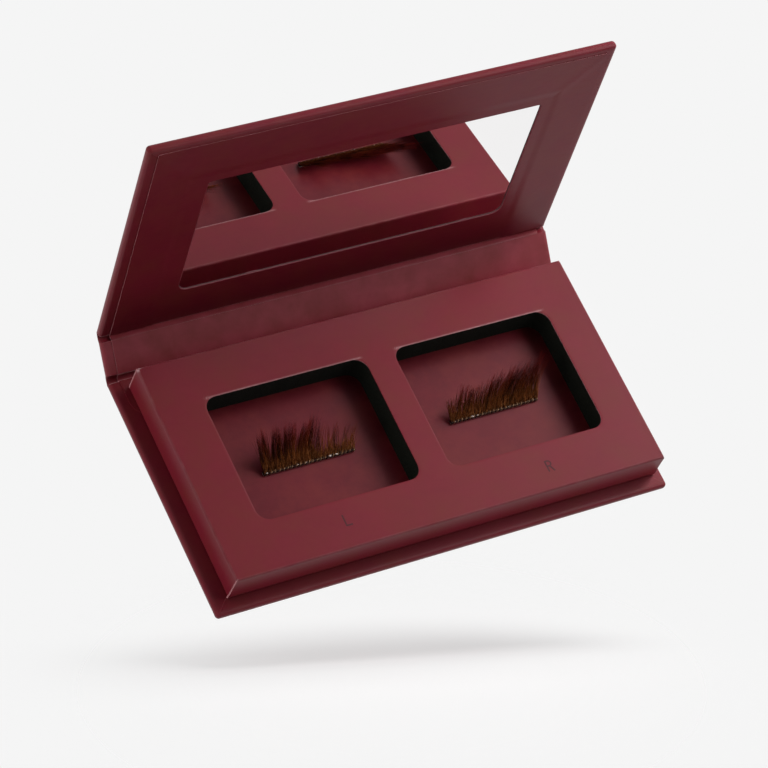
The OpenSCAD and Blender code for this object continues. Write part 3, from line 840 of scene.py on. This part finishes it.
# Rings from a window's outline out to a rectangle: the plan of half a plate with a window.
def windowRings(side, low, high, grow, rows, perSide=44):
    middle = np.array([wells["centres"][side], wells["middleY"]])
    half = np.array(wells["size"]) / 2 + grow
    radius = wells["radius"] + grow
    (left, front), (right, rear) = middle - half, middle + half
    inner = roundedLoop([(right, front, radius), (right, rear, radius), (left, rear, radius),
                         (left, front, radius)], middle, perSide)
    outer = roundedLoop([(high[0], low[1], 0), (high[0], high[1], 0), (low[0], high[1], 0),
                         (low[0], low[1], 0)], middle, perSide)
    t = (np.linspace(0, 1, rows) ** 1.3)[:, None, None]
    return inner * (1 - t) + outer * t


# Plan corners of the left or right half of a plate that is parted at the bar.
def halfLimits(side, low, high):
    return ((low[0], low[1]), (barX, high[1])) if side == 0 else ((barX, low[1]), (high[0], high[1]))


# Both halves of a flat plate with two windows.
def platedHalves(low, high, grow, rows, level, upward=True):
    halves = []
    for side in (0, 1):
        plan = windowRings(side, *halfLimits(side, low, high), grow, rows)
        height = level(plan[..., 0], plan[..., 1], np.linspace(0, 1, rows)[:, None])
        halves.append(surface(raised(plan, height), closed=True, turned=upward))
    return joined(*halves)


# Height of the tray's top: a little low at the windows' edges and gently uneven.
def sleeveTop(x, y, out):
    return trayHigh[2] - 0.05 * np.exp(-out * 22) + np.minimum(ripple(x, y, 26, 61) * card["sag"], 0.0)


bend = card["bend"]
topLow, topHigh = trayLow[:2] + bend, trayHigh[:2] - bend
sleeve = [platedHalves(topLow, topHigh, 0, 26, sleeveTop)]
(x, y), half = sleeve[0]["points"][:, :2].T, np.array(wells["size"]) / 2
behind = y - wells["middleY"] - half[1]
besideX = np.min([np.abs(x - centre) for centre in wells["centres"]], axis=0)
# The windows' rear edges are paler: a painted highlight on the lit cut edge
sleeve[0]["values"]["wear"] = (card["rearHighlight"] * np.exp(-(behind / 0.17) ** 2)
                               * rise(half[0] - besideX, 0, 1.5)
                               * (0.8 + 0.2 * ripple(x, y, 12, 67)))


# Side profile of a tray wall as (distance out from the fold line, height): bend, wall, lower bend
# and the flange turned in.
def wallProfile():
    turn = np.linspace(np.pi / 2, 0, 9)
    top, bottom = trayHigh[2], trayLow[2]
    upper = np.stack([bend * np.cos(turn), top - bend + bend * np.sin(turn)], -1)
    wall = np.stack([np.full(12, bend), np.linspace(top - bend - 0.3, bottom + bend + 0.1, 12)], -1)
    lower = np.stack([bend * np.cos(turn[::-1]), bottom + bend - bend * np.sin(turn[::-1])], -1)
    inner = np.stack([np.linspace(-0.5, bend - card["flange"], 4), np.full(4, bottom)], -1)
    return np.concatenate([upper, wall, lower, inner])


# A wall of the tray: the profile carried straight from start to end along a fold line. overhang is
# how far its ends stand out past the fold lines, once it is round the bend; spread opens them
# towards the foot.
def sleeveWall(start, end, outward, overhang, seed, spread=0):
    profile = wallProfile()
    share = crowdedEnds(np.linspace(0, 1, 60))
    start, end, outward = (np.array(v, float) for v in (start, end, outward))
    length = np.linalg.norm(end - start)
    way = (end - start) / length
    out, z = profile[:, 0][:, None], profile[:, 1][:, None]
    below = rise(trayHigh[2] - z, 0.0, bend * 0.9)
    depth = np.clip((trayHigh[2] - z) / (trayHigh[2] - trayLow[2]), 0, 1)
    flap = rise(bend * 0.5 - out, 0, 0.8) * (depth > 0.9) * card["tuck"]
    flare = spread * depth ** 3 * (1 - flap / card["tuck"])
    along = share[None, :] * length + (2 * share[None, :] - 1) * ((overhang + flare) * below - flap)
    ease = ripple(along, z, 30, seed) * card["wave"] * rise(trayHigh[2] - z, 0.5, 2) * (depth < 0.97)
    plan = (start + way * along[..., None]) + outward * (out - np.abs(ease))[..., None]
    # Paler along the top fold: paper stretched over the bend, and a painted highlight on the rounded bend
    wear = card["edgeWearAndHighlight"] * np.exp(-((out - bend * 0.75) / 0.3) ** 2 - ((trayHigh[2] - z) / 0.45) ** 2)
    grid = raised(plan, z)
    # The tray's rear left corner has a small pale spot
    spot = (topLow[0] - bend / 2, topHigh[1] + bend / 2, trayHigh[2] - 0.1)
    wearAndHighlightAmount = (wear * (0.7 + 0.5 * ripple(along, z, 6, seed + 1))
              + card["cornerPaleSpot"] * np.exp(-(np.linalg.norm(grid - spot, axis=-1) / 0.5) ** 2))
    return surface(grid, wear=np.clip(wearAndHighlightAmount, 0, 1))


(x0, y0), (x1, y1) = topLow, topHigh
sleeve += [
    sleeveWall((x1, y0), (x0, y0), (0, -1), bend - 0.02, 71, card["flare"]),
    sleeveWall((x0, y1), (x1, y1), (0, 1), bend - 0.02, 73),
    sleeveWall((x0, y0), (x0, y1), (-1, 0), bend - card["thick"], 75),
    sleeveWall((x1, y1), (x1, y0), (1, 0), bend - card["thick"], 77)]
makePiece("tray_card", joined(*sleeve), [trayPaper, cutCard], ["tray_sleeve"],
          wall=card["thick"], weld=0.0, body="base")


# How far the wells stand back behind the windows, and how far the die has bowed their walls
foam = {"setback": 0.25, "bow": 0.10, "rows": 14}


# Foam block with two wells: plates above and below, upright outer sides, and well walls that a die
# has cut, bowed outwards in their middle and a little uneven.
def foamBlock():
    low, high = foamLow, foamHigh
    parts = [platedHalves(low[:2], high[:2], foam["setback"], 10, lambda x, y, out: high[2]),
             platedHalves(low[:2], high[:2], foam["setback"], 10, lambda x, y, out: low[2], upward=False)]
    down = np.linspace(0, 1, foam["rows"])[:, None]
    for side in (0, 1):
        rings = windowRings(side, *halfLimits(side, low, high), foam["setback"], 2)
        loop, edge = rings[0], rings[-1]
        middle = np.array([wells["centres"][side], wells["middleY"]])
        outward = (loop - middle) / np.linalg.norm(loop - middle, axis=1, keepdims=True)
        bow = np.sin(np.pi * down) * foam["bow"] * (1 + ripple(loop[:, 0], loop[:, 1], 5, 81)[None, :])
        wall = raised(loop + outward * bow[..., None], high[2] + (low[2] - high[2]) * down)
        outside = raised(np.stack([edge, edge]), np.array([high[2], low[2]])[:, None])
        parts += [surface(wall, closed=True), surface(outside, closed=True, turned=True)]
    return parts


# A surface without the quads that lie wholly in the plane at x, inside the block
def outerSides(part, x):
    inside = np.all(np.abs(part["points"][part["faces"]][..., 0] - x) < 1e-6, axis=1)
    return {**part, "faces": part["faces"][~inside]}


foamSurface = joined(*[outerSides(part, barX) for part in foamBlock()])
foamPiece = makePiece("foam_block", foamSurface, [blackFoam], ["foam_insert"], weld=0.004,
                      body="base")
print("tray made")


# Lashes

# Millimetres and degrees. Pairs are a mean and a spread, or the least and the most. at, long, lean and
# crowd go along a band from its left end at 0 to its right end at 1: how long the hairs are there, how
# far their tips lean to the right, and how crowded the tufts stand. specks are places and sizes of glue
lash = {
    "thick": 0.115, "taper": 0.86, "rings": 7, "sides": 3, "top": 9.5,
    "tufts": 46, "tuftHairs": 21, "spread": 0.50, "tip": 0.17, "sway": 0.45, "parting": 1.25,
    "strays": 0.24, "strayLean": 0.9, "shortest": 0.78, "longest": 1.03, "uneven": 0.07,
    "root": 27, "rootTuft": 3.0, "rootHair": 2.0, "curl": 19, "curlTuft": 4.0, "curlHair": 2.5,
    "toneHair": 0.26, "bow": 0.10,
    "down": {"hairs": 520, "long": (0.9, 2.9), "lean": (0.35, 0.45), "root": (12, 55), "curl": (15, 8)},
    "knots": {"count": 44, "tube": 0.12, "steps": 12, "sides": 4, "slant": (0.10, 0.26)},
    "left": {"seed": 7, "at": (0, 0.1, 0.5, 0.62, 0.78, 1), "long": (9.0, 9.1, 8.9, 8.2, 7.2, 5.4),
             "lean": (-1.1, 0.3, 2.6, 2.2, 1.5, 2.4), "crowd": (1, 1, 1, 0.45, 0.38, 0.45),
             "specks": ((0.03, 0.42), (0.46, 0.30), (0.72, 0.62), (0.79, 0.50), (0.37, 0.22))},
    "right": {"seed": 9, "at": (0, 0.1, 0.3, 0.5, 0.75, 1), "long": (4.6, 7.0, 6.6, 7.8, 8.6, 8.5),
              "lean": (-0.3, 2.4, 1.4, 4.4, 4.9, 4.2), "crowd": (0.8, 0.7, 0.75, 1, 1, 1),
              "specks": ((0.04, 0.25), (0.24, 0.50), (0.30, 0.34), (0.66, 0.2))}}


# Tapered hairs, all at once: each centreline leaves its root at an elevation that grows by curl
# along it, and drifts sideways by its lean with the square of the distance.
def strands(root, way, lean, length, curl, thick):
    count, rings, sides = len(root), lash["rings"], lash["sides"]
    s = np.linspace(0, 1, rings)
    angle = way[:, None] + curl[:, None] * s
    step = length[:, None] / (rings - 1)
    forward = np.cumsum(np.cos(angle) * step, 1) - np.cos(angle[:, :1]) * step
    upward = np.cumsum(np.sin(angle) * step, 1) - np.sin(angle[:, :1]) * step
    x = root[:, :1] + lean[:, 0:1] * s + lean[:, 1:2] * s ** 2 + lean[:, 2:3] * np.sin(np.pi * s * 1.5)
    centre = np.stack([x, root[:, 1:2] + forward, root[:, 2:3] + upward], -1)
    reach = thick[:, None] / 2 * (1 - lash["taper"] * s ** 1.6)
    turn = np.arange(sides) * 2 * np.pi / sides
    side = np.array([1.0, 0, 0])
    up = np.stack([np.zeros_like(angle), -np.sin(angle), np.cos(angle)], -1)
    ring = (centre[:, :, None, :] + reach[..., None, None]
            * (np.cos(turn)[:, None] * side + np.sin(turn)[None, None, :, None] * up[:, :, None, :]))
    points = ring.reshape(count, rings * sides, 3)
    tip = centre[:, -1] + (centre[:, -1] - centre[:, -2]) * 0.4
    base = centre[:, 0]
    points = np.concatenate([points, tip[:, None], base[:, None]], 1)
    r, c = np.meshgrid(np.arange(rings - 1), np.arange(sides), indexing="ij")
    a, b = r * sides + c, r * sides + (c + 1) % sides
    quads = np.stack([a, b, b + sides, a + sides], -1).reshape(-1, 4)
    last, first = (rings - 1) * sides, np.arange(sides)
    nextOne = (first + 1) % sides
    caps = np.concatenate([
        np.stack([last + first, last + nextOne, np.full(sides, rings * sides)], -1),
        np.stack([nextOne, first, np.full(sides, rings * sides + 1)], -1)])
    each = points.shape[1]
    start = (np.arange(count) * each)[:, None, None]
    faces = (quads[None] + start).reshape(-1, 4).tolist() + (caps[None] + start).reshape(-1, 3).tolist()
    along = np.tile(np.concatenate([np.repeat(s, sides), [1, 0]]), count)
    return points.reshape(-1, 3), faces, along, each


# One lash: tufts whose hairs start apart and draw together at their tips, which cross in pairs
# where they stand thin, and short down along the band.
def lashHairs(plan, band):
    draw = np.random.default_rng(plan["seed"])
    (left, front), (right, rear) = (corner[:2] for corner in band)
    length, tufts = right - left, lash["tufts"]
    stand = (np.arange(tufts) + draw.uniform(0.15, 0.85, tufts)) / tufts
    crowd = np.interp(stand, plan["at"], plan["crowd"])
    kept = draw.uniform(0, 1, tufts) < 0.35 + 0.65 * crowd
    stand, crowd = stand[kept], crowd[kept]
    tufts = len(stand)
    hairs = np.round(lash["tuftHairs"] * crowd * draw.uniform(0.6, 1.35, tufts)).astype(int)
    mine = np.repeat(np.arange(tufts), hairs)
    count = len(mine)
    apart = np.where(np.arange(tufts) % 2, lash["parting"], -lash["parting"]) * (1 - crowd)
    sway = draw.normal(0, lash["sway"], tufts) + apart
    stray = draw.uniform(0, 1, count) < lash["strays"]
    offset = draw.normal(0, lash["spread"], count)
    toTip = draw.normal(0, lash["tip"], count) - offset
    toTip = toTip + np.where(stray, draw.normal(0, lash["strayLean"], count), 0)
    lean = np.interp(stand, plan["at"], plan["lean"])[mine] + sway[mine] + toTip
    reach = (np.interp(stand, plan["at"], plan["long"]) * draw.normal(1, lash["uneven"], tufts))[mine]
    reach = reach * draw.uniform(lash["shortest"], lash["longest"], count)
    way = (lash["root"] + draw.normal(0, lash["rootTuft"], tufts))[mine]
    way = way + draw.normal(0, lash["rootHair"], count)
    curl = (lash["curl"] + draw.normal(0, lash["curlTuft"], tufts))[mine]
    curl = curl + draw.normal(0, lash["curlHair"], count)
    tone = draw.uniform(0.0, 0.85, tufts)[mine] + draw.normal(0, lash["toneHair"], count)
    at = stand[mine] * length + offset

    down = lash["down"]
    extra = down["hairs"]
    at = np.concatenate([at, draw.uniform(0, length, extra)])
    lean = np.concatenate([lean, draw.normal(*down["lean"], extra)])
    reach = np.concatenate([reach, draw.uniform(*down["long"], extra)])
    way = np.concatenate([way, draw.uniform(*down["root"], extra)])
    curl = np.concatenate([curl, draw.normal(*down["curl"], extra)])
    tone = np.concatenate([np.clip(tone, 0, 1), draw.uniform(0.25, 1.0, extra)])
    count += extra
    bow = draw.normal(0, lash["bow"], count)
    y = front + 0.1 + (rear - front - 0.2) * draw.uniform(0, 1, count)
    root = np.stack([left + np.clip(at, 0.05, length - 0.05), y, np.full(count, band[1][2] - 0.05)], -1)
    thick = lash["thick"] * draw.uniform(0.75, 1.2, count)
    drift = np.stack([lean * 0.35, lean * 0.65, bow], -1)
    points, faces, along, each = strands(root, np.radians(way), drift, reach, np.radians(curl), thick)
    points[:, 2] = np.minimum(points[:, 2], lash["top"])
    along = along * np.repeat(reach, each) / max(plan["long"])
    return {"points": points, "faces": faces, "values": {"along": along, "tone": np.repeat(tone, each)}}


# Closed tubes, all at once: each ring of a tube stands square to its loop's way.
def tubeLoops(centres, tangents, frames, radius, sides):
    loops, steps = centres.shape[:2]
    turn = np.arange(sides) * 2 * np.pi / sides
    across = np.cross(tangents, frames)
    ring = centres[:, :, None] + radius * (np.cos(turn)[:, None] * frames[:, :, None]
                                           + np.sin(turn)[:, None] * across[:, :, None])
    a, b = np.meshgrid(np.arange(steps), np.arange(sides), indexing="ij")
    nextRing, nextSide = (a + 1) % steps, (b + 1) % sides
    quads = np.stack([a * sides + b, a * sides + nextSide, nextRing * sides + nextSide,
                      nextRing * sides + b], -1).reshape(-1, 4)
    start = (np.arange(loops) * steps * sides)[:, None, None]
    return ring.reshape(-1, 3), (quads[None] + start).reshape(-1, 4).tolist()


# Thread that ties the hairs to the band: slanting loops round it, dark and golden by turns.
def bandKnots(plan, band):
    draw = np.random.default_rng(plan["seed"] + 100)
    (left, front, low), (right, rear, top) = band
    knots, steps, sides = (lash["knots"][key] for key in ("count", "steps", "sides"))
    middle = left + (np.arange(knots) + 0.5 + draw.uniform(-0.15, 0.15, knots)) / knots * (right - left)
    turn = np.arange(steps) * 2 * np.pi / steps
    deep, tall = (rear - front) / 2 + 0.03, (top - low) / 2 + 0.03
    y = (front + rear) / 2 + deep * np.sign(np.cos(turn)) * np.abs(np.cos(turn)) ** 0.6
    z = (low + top) / 2 + tall * np.sign(np.sin(turn)) * np.abs(np.sin(turn)) ** 0.6
    slant = draw.uniform(*lash["knots"]["slant"], knots)[:, None] * np.sin(turn + 0.8)[None]
    centres = np.stack([middle[:, None] + slant, np.broadcast_to(y, slant.shape),
                        np.broadcast_to(z, slant.shape)], -1)
    tangents = np.roll(centres, -1, 1) - np.roll(centres, 1, 1)
    tangents = tangents / np.linalg.norm(tangents, axis=-1, keepdims=True)
    frames = np.cross(tangents, np.array([1.0, 0, 0]))
    frames = frames / np.linalg.norm(frames, axis=-1, keepdims=True)
    points, faces = tubeLoops(centres, tangents, frames, lash["knots"]["tube"], sides)
    tone = np.clip(np.where(np.arange(knots) % 2, 0.85, 0.1) + draw.normal(0, 0.15, knots), 0, 1)
    return {"points": points, "faces": faces, "values": {"tone": np.repeat(tone, steps * sides)}}


# Dried drops of adhesive on the band: low, lumpy domes closed above and below.
def glueSpecks(plan, band):
    left, front, right, top = band[0][0], band[0][1], band[1][0], band[1][2]
    points, faces, first = [], [], 0
    rows, columns = 7, 12
    up, turn = np.meshgrid(np.linspace(0.02, np.pi - 0.02, rows), np.arange(columns) * 2 * np.pi / columns,
                           indexing="ij")
    for index, (share, size) in enumerate(plan["specks"]):
        lump = 1 + 0.22 * ripple(3 * np.cos(turn) * np.sin(up), 3 * np.sin(turn) * np.sin(up) + index, 2.2,
                                 plan["seed"] + index)
        shape = np.stack([np.sin(up) * np.cos(turn) * 0.62, np.sin(up) * np.sin(turn) * 0.42,
                          np.cos(up) * 0.30], -1) * (lump * size)[..., None]
        part = surface(np.array([left + share * (right - left), front + 0.16, top + 0.02]) + shape[::-1],
                       closed=True)
        last = first + (rows - 1) * columns
        faces += (part["faces"] + first).tolist()
        faces += [list(range(first, first + columns))[::-1], list(range(last, last + columns))]
        points.append(part["points"])
        first += rows * columns
    return {"points": np.concatenate(points), "faces": faces, "values": {}}


# Makes loose shells a mesh object that rides on the base.
def lashPiece(name, part, material, replaces=()):
    mesh = makeMesh(name, part, [material])
    mesh.shade_smooth()
    piece = bpy.data.objects.new(name, mesh)
    bpy.context.scene.collection.objects.link(piece)
    if replaces:
        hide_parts(*replaces)
    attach(piece, "base")


for side in ("left", "right"):
    plan, band, start = lash[side], nodeBox(side + "_lash_band"), side + "_lash_"
    lashPiece(start + "fringe", lashHairs(plan, band), fibre, [start + "hairs"])
    lashPiece(start + "knots", bandKnots(plan, band), thread)
    lashPiece(start + "glue_specks", glueSpecks(plan, band), adhesive)
print("lashes made")


# Letters that tell the left lash from the right

marks = {"height": 2.65, "width": 1.75, "stroke": 0.34, "thick": 0.03, "lap": 0.004,
         "L": (-24.55, -21.7), "R": (26.65, -22.5)}


# A flat bar of ink along a path: the path moved half the stroke to both sides, as a thin prism.
def markStroke(path, lift):
    path = np.array(path, float)
    way = np.gradient(path, axis=0)
    way = way / np.linalg.norm(way, axis=1, keepdims=True)
    side = np.stack([-way[:, 1], way[:, 0]], -1) * marks["stroke"] / 2
    path[0] -= way[0] * marks["stroke"] / 2
    path[-1] += way[-1] * marks["stroke"] / 2
    left, right = path + side, path - side
    bottom, top = (sleeveTop(path[:, 0], path[:, 1], 0.5) + level
                   for level in (-0.01, marks["thick"] + lift))
    ring = np.stack([raised(plan, level) for plan, level in
                     ((left, top), (right, top), (right, bottom), (left, bottom))], 1)
    return surface(ring, closed=True)


# A letter on the tray, from bars that lap over each other.
def markPiece(letter, strokes):
    x, y = marks[letter]
    parts = [markStroke([(x + px, y + py) for px, py in path], marks["lap"] * index)
             for index, path in enumerate(strokes)]
    makePiece("mark_" + letter, joined(*parts), [ink], body="base", capped=True)


high, wide = marks["height"], marks["width"]
bowl = [(wide * 0.42 + wide * 0.36 * math.cos(t), high * 0.76 + high * 0.24 * math.sin(t))
        for t in np.linspace(math.pi / 2, -math.pi / 2, 13)]
markPiece("L", [[(0.15, 0.15), (0.15, high)], [(0.45, 0.15), (wide * 0.85, 0.15)]])
markPiece("R", [[(0.15, 0.15), (0.15, high)], [(0.3, high), *bowl, (0.3, high * 0.52)],
                [(wide * 0.48, high * 0.50), (wide * 0.86, 0.1)]])
print("letters made")


# Materials of the CAD nodes that stay

for node, material in {
        "base_liner_flap": linerPaper, "tray_glue_sheet": film,
        "well_floor": wellPaperShade, "tray_magnets": steel, "lid_discs": steel, "lash_glue_strips": adhesive,
        "left_lash_band": thread, "right_lash_band": thread, "mirror_tape": film}.items():
    for materialSlot in frame["nodes"][node].material_slots:
        materialSlot.link, materialSlot.material = "OBJECT", material


# Studio: camera, lamps, floor

studio = {
    "lens": 167.336, "sensor": 36.0, "eye": (-349.847, -293.898, 653.536),
    "right": (0.8670757, -0.4152839, 0.2751709), "down": (-0.2322124, -0.8255957, -0.5142656),
    "forward": (0.4407461, 0.3820092, -0.8122880),
    "backdrop": 0.913, "ambient": 0.0,
    "floorLean": 2.3, "floorDrop": 47.0, "floorHalf": (95, 330), "floorShift": (0, -10),
    "floorSpare": 1.05, "floorClear": 0.12, "floorGlow": 0.65, "floorPaint": (0.9, 0.9, 0.9, 1),
    "aim": (0, 0, 20)}


# Camera at the photograph's place, from its eye point and its three axes.
def makeCamera():
    data = bpy.data.cameras.new("view")
    data.lens, data.sensor_width = studio["lens"], studio["sensor"]
    data.clip_start, data.clip_end = 0.05, 20
    camera = bpy.data.objects.new("view", data)
    bpy.context.scene.collection.objects.link(camera)
    matrix = np.eye(4)
    matrix[:3, 0] = studio["right"]
    matrix[:3, 1] = -np.array(studio["down"])
    matrix[:3, 2] = -np.array(studio["forward"])
    matrix[:3, 3] = np.array(studio["eye"]) * mm
    camera.matrix_world = Matrix(matrix.tolist())
    bpy.context.scene.camera = camera


makeCamera()

lamps = {
    "above": {"from": (0.384, 0.701, 0.601), "away": 1400, "size": 1100, "power": 7.1, "gloss": False},
    "rightTop": {"from": (0.60, -0.25, 0.75), "away": 600, "size": 300, "power": 0.82, "gloss": True},
    "rightHigh": {"from": (0.80, 0.25, 0.85), "away": 500, "size": 260, "power": 0.50, "gloss": True},
    "rightSoft": {"from": (0.80, 0.25, 0.85), "away": 500, "size": 260, "power": 1.32, "gloss": False},
    "backRight": {"from": (0.82, 0.38, 0.42), "away": 400, "size": 200, "power": 1.05, "gloss": False},
    "backLeft": {"from": (-0.70, 0.60, 0.50), "away": 800, "size": 400, "power": 1.35, "gloss": False},
    "left": {"from": (-0.994, 0.035, 0.105), "away": 700, "size": 280, "power": 2.40, "gloss": False},
    "lowFront": {"from": (0.0, -0.993, -0.122), "away": 600, "size": 160, "power": 0.78, "gloss": False},
    "lowRight": {"from": (0.60, -0.70, -0.35), "away": 600, "size": 400, "power": 0.80, "gloss": False},
}


# Disk lamps: each stands away from the aim in its direction and faces it
def makeLamps():
    for name, lamp in lamps.items():
        data = bpy.data.lights.new(name, "AREA")
        data.shape = "DISK"
        data.size = lamp["size"] * mm
        data.energy = lamp["power"]
        light = bpy.data.objects.new(name, data)
        way = np.array(lamp["from"]) / np.linalg.norm(lamp["from"])
        light.location = Vector((way * lamp["away"] + studio["aim"]) * mm)
        light.rotation_euler = Vector(-way).to_track_quat("-Z", "Y").to_euler()
        light.visible_camera = False
        light.visible_glossy = lamp["gloss"]
        bpy.context.scene.collection.objects.link(light)


makeLamps()


# The floor, which carries the shadow: square to the photograph's upright but for a small lean to
# the eye, and clear below the case. It shows to the camera only, from above, and fades out round a
# point in an ellipse.
def makeFloor():
    lean = math.radians(studio["floorLean"])
    normal = -np.array(studio["down"]) * math.cos(lean) - np.array(studio["forward"]) * math.sin(lean)
    across = np.array(studio["right"])
    away = np.cross(normal, across)
    mesh = bpy.data.meshes.new("floor")
    long, deep = (half * studio["floorSpare"] * mm for half in studio["floorHalf"])
    corners = [(-long, -deep, 0), (long, -deep, 0), (long, deep, 0), (-long, deep, 0)]
    mesh.from_pydata(corners, [], [(0, 1, 2, 3)])
    floor = bpy.data.objects.new("floor", mesh)
    matrix = np.eye(4)
    matrix[:3, 0], matrix[:3, 1], matrix[:3, 2] = across, away, normal
    shift = studio["floorShift"]
    matrix[:3, 3] = (across * shift[0] + away * shift[1] - normal * studio["floorDrop"]) * mm
    floor.matrix_world = Matrix(matrix.tolist())
    bpy.context.scene.collection.objects.link(floor)
    recipe = Recipe("floor_white")
    shrink = tuple(1 / (half * mm) for half in studio["floorHalf"])
    oval = recipe.add("Mapping", {}, {"Vector": recipe.spot(), "Scale": (*shrink, 1)})
    out = recipe.add("VectorMath", {"operation": "LENGTH"}, {0: oval}, "Value")
    fade = recipe.add("MapRange", {"interpolation_type": "SMOOTHSTEP"},
                      {0: out, 1: studio["floorClear"], 2: 1.0})
    hidden = fade.reckon("MAXIMUM", fade, recipe.add("NewGeometry", output="Backfacing"))
    glow = recipe.add("Emission", {}, {"Color": (1, 1, 1, 1), "Strength": studio["floorGlow"]})
    paint = recipe.add("BsdfDiffuse", {}, {"Color": studio["floorPaint"]})
    lit = recipe.add("AddShader", {}, {0: glow, 1: paint})
    clear = recipe.add("BsdfTransparent")
    both = recipe.add("MixShader", {}, {0: hidden, 1: lit, 2: clear})
    end = recipe.tree.nodes.new("ShaderNodeOutputMaterial")
    recipe.tree.links.new(both.socket, end.inputs["Surface"])
    mesh.materials.append(recipe.material)
    floor.visible_diffuse = floor.visible_glossy = floor.visible_transmission = floor.visible_shadow = False
    return floor


floor = makeFloor()
# One lamp lights the floor alone, so that one soft shadow lies on it, and the others leave it out
for name, state, linked in (("floor_lit", "INCLUDE", ["above"]),
                            ("floor_spared", "EXCLUDE", [lamp for lamp in lamps if lamp != "above"])):
    group = bpy.data.collections.new(name)
    group.objects.link(floor)
    group.collection_objects[0].light_linking.link_state = state
    for lamp in linked:
        bpy.data.objects[lamp].light_linking.receiver_collection = group


# Pale surroundings: camera, mirror and glossy rays see the backdrop; other rays see the ambient level,
# which is set to none.
def makeWorld():
    world = bpy.data.worlds.new("studio")
    bpy.context.scene.world = world
    world.use_nodes = True
    tree = world.node_tree
    tree.nodes.clear()
    path = tree.nodes.new("ShaderNodeLightPath")
    seen = path.outputs["Is Camera Ray"]
    for ray in ("Is Glossy Ray", "Is Transmission Ray"):
        either = tree.nodes.new("ShaderNodeMath")
        either.operation = "MAXIMUM"
        tree.links.new(seen, either.inputs[0])
        tree.links.new(path.outputs[ray], either.inputs[1])
        seen = either.outputs[0]
    level = tree.nodes.new("ShaderNodeMix")
    level.data_type = "FLOAT"
    level.inputs[2].default_value = studio["ambient"]
    level.inputs[3].default_value = studio["backdrop"]
    tree.links.new(seen, level.inputs[0])
    back = tree.nodes.new("ShaderNodeBackground")
    back.inputs["Color"].default_value = (1, 1, 1, 1)
    tree.links.new(level.outputs[0], back.inputs["Strength"])
    end = tree.nodes.new("ShaderNodeOutputWorld")
    tree.links.new(back.outputs[0], end.inputs[0])


makeWorld()
bpy.context.scene.view_settings.view_transform = "Standard"
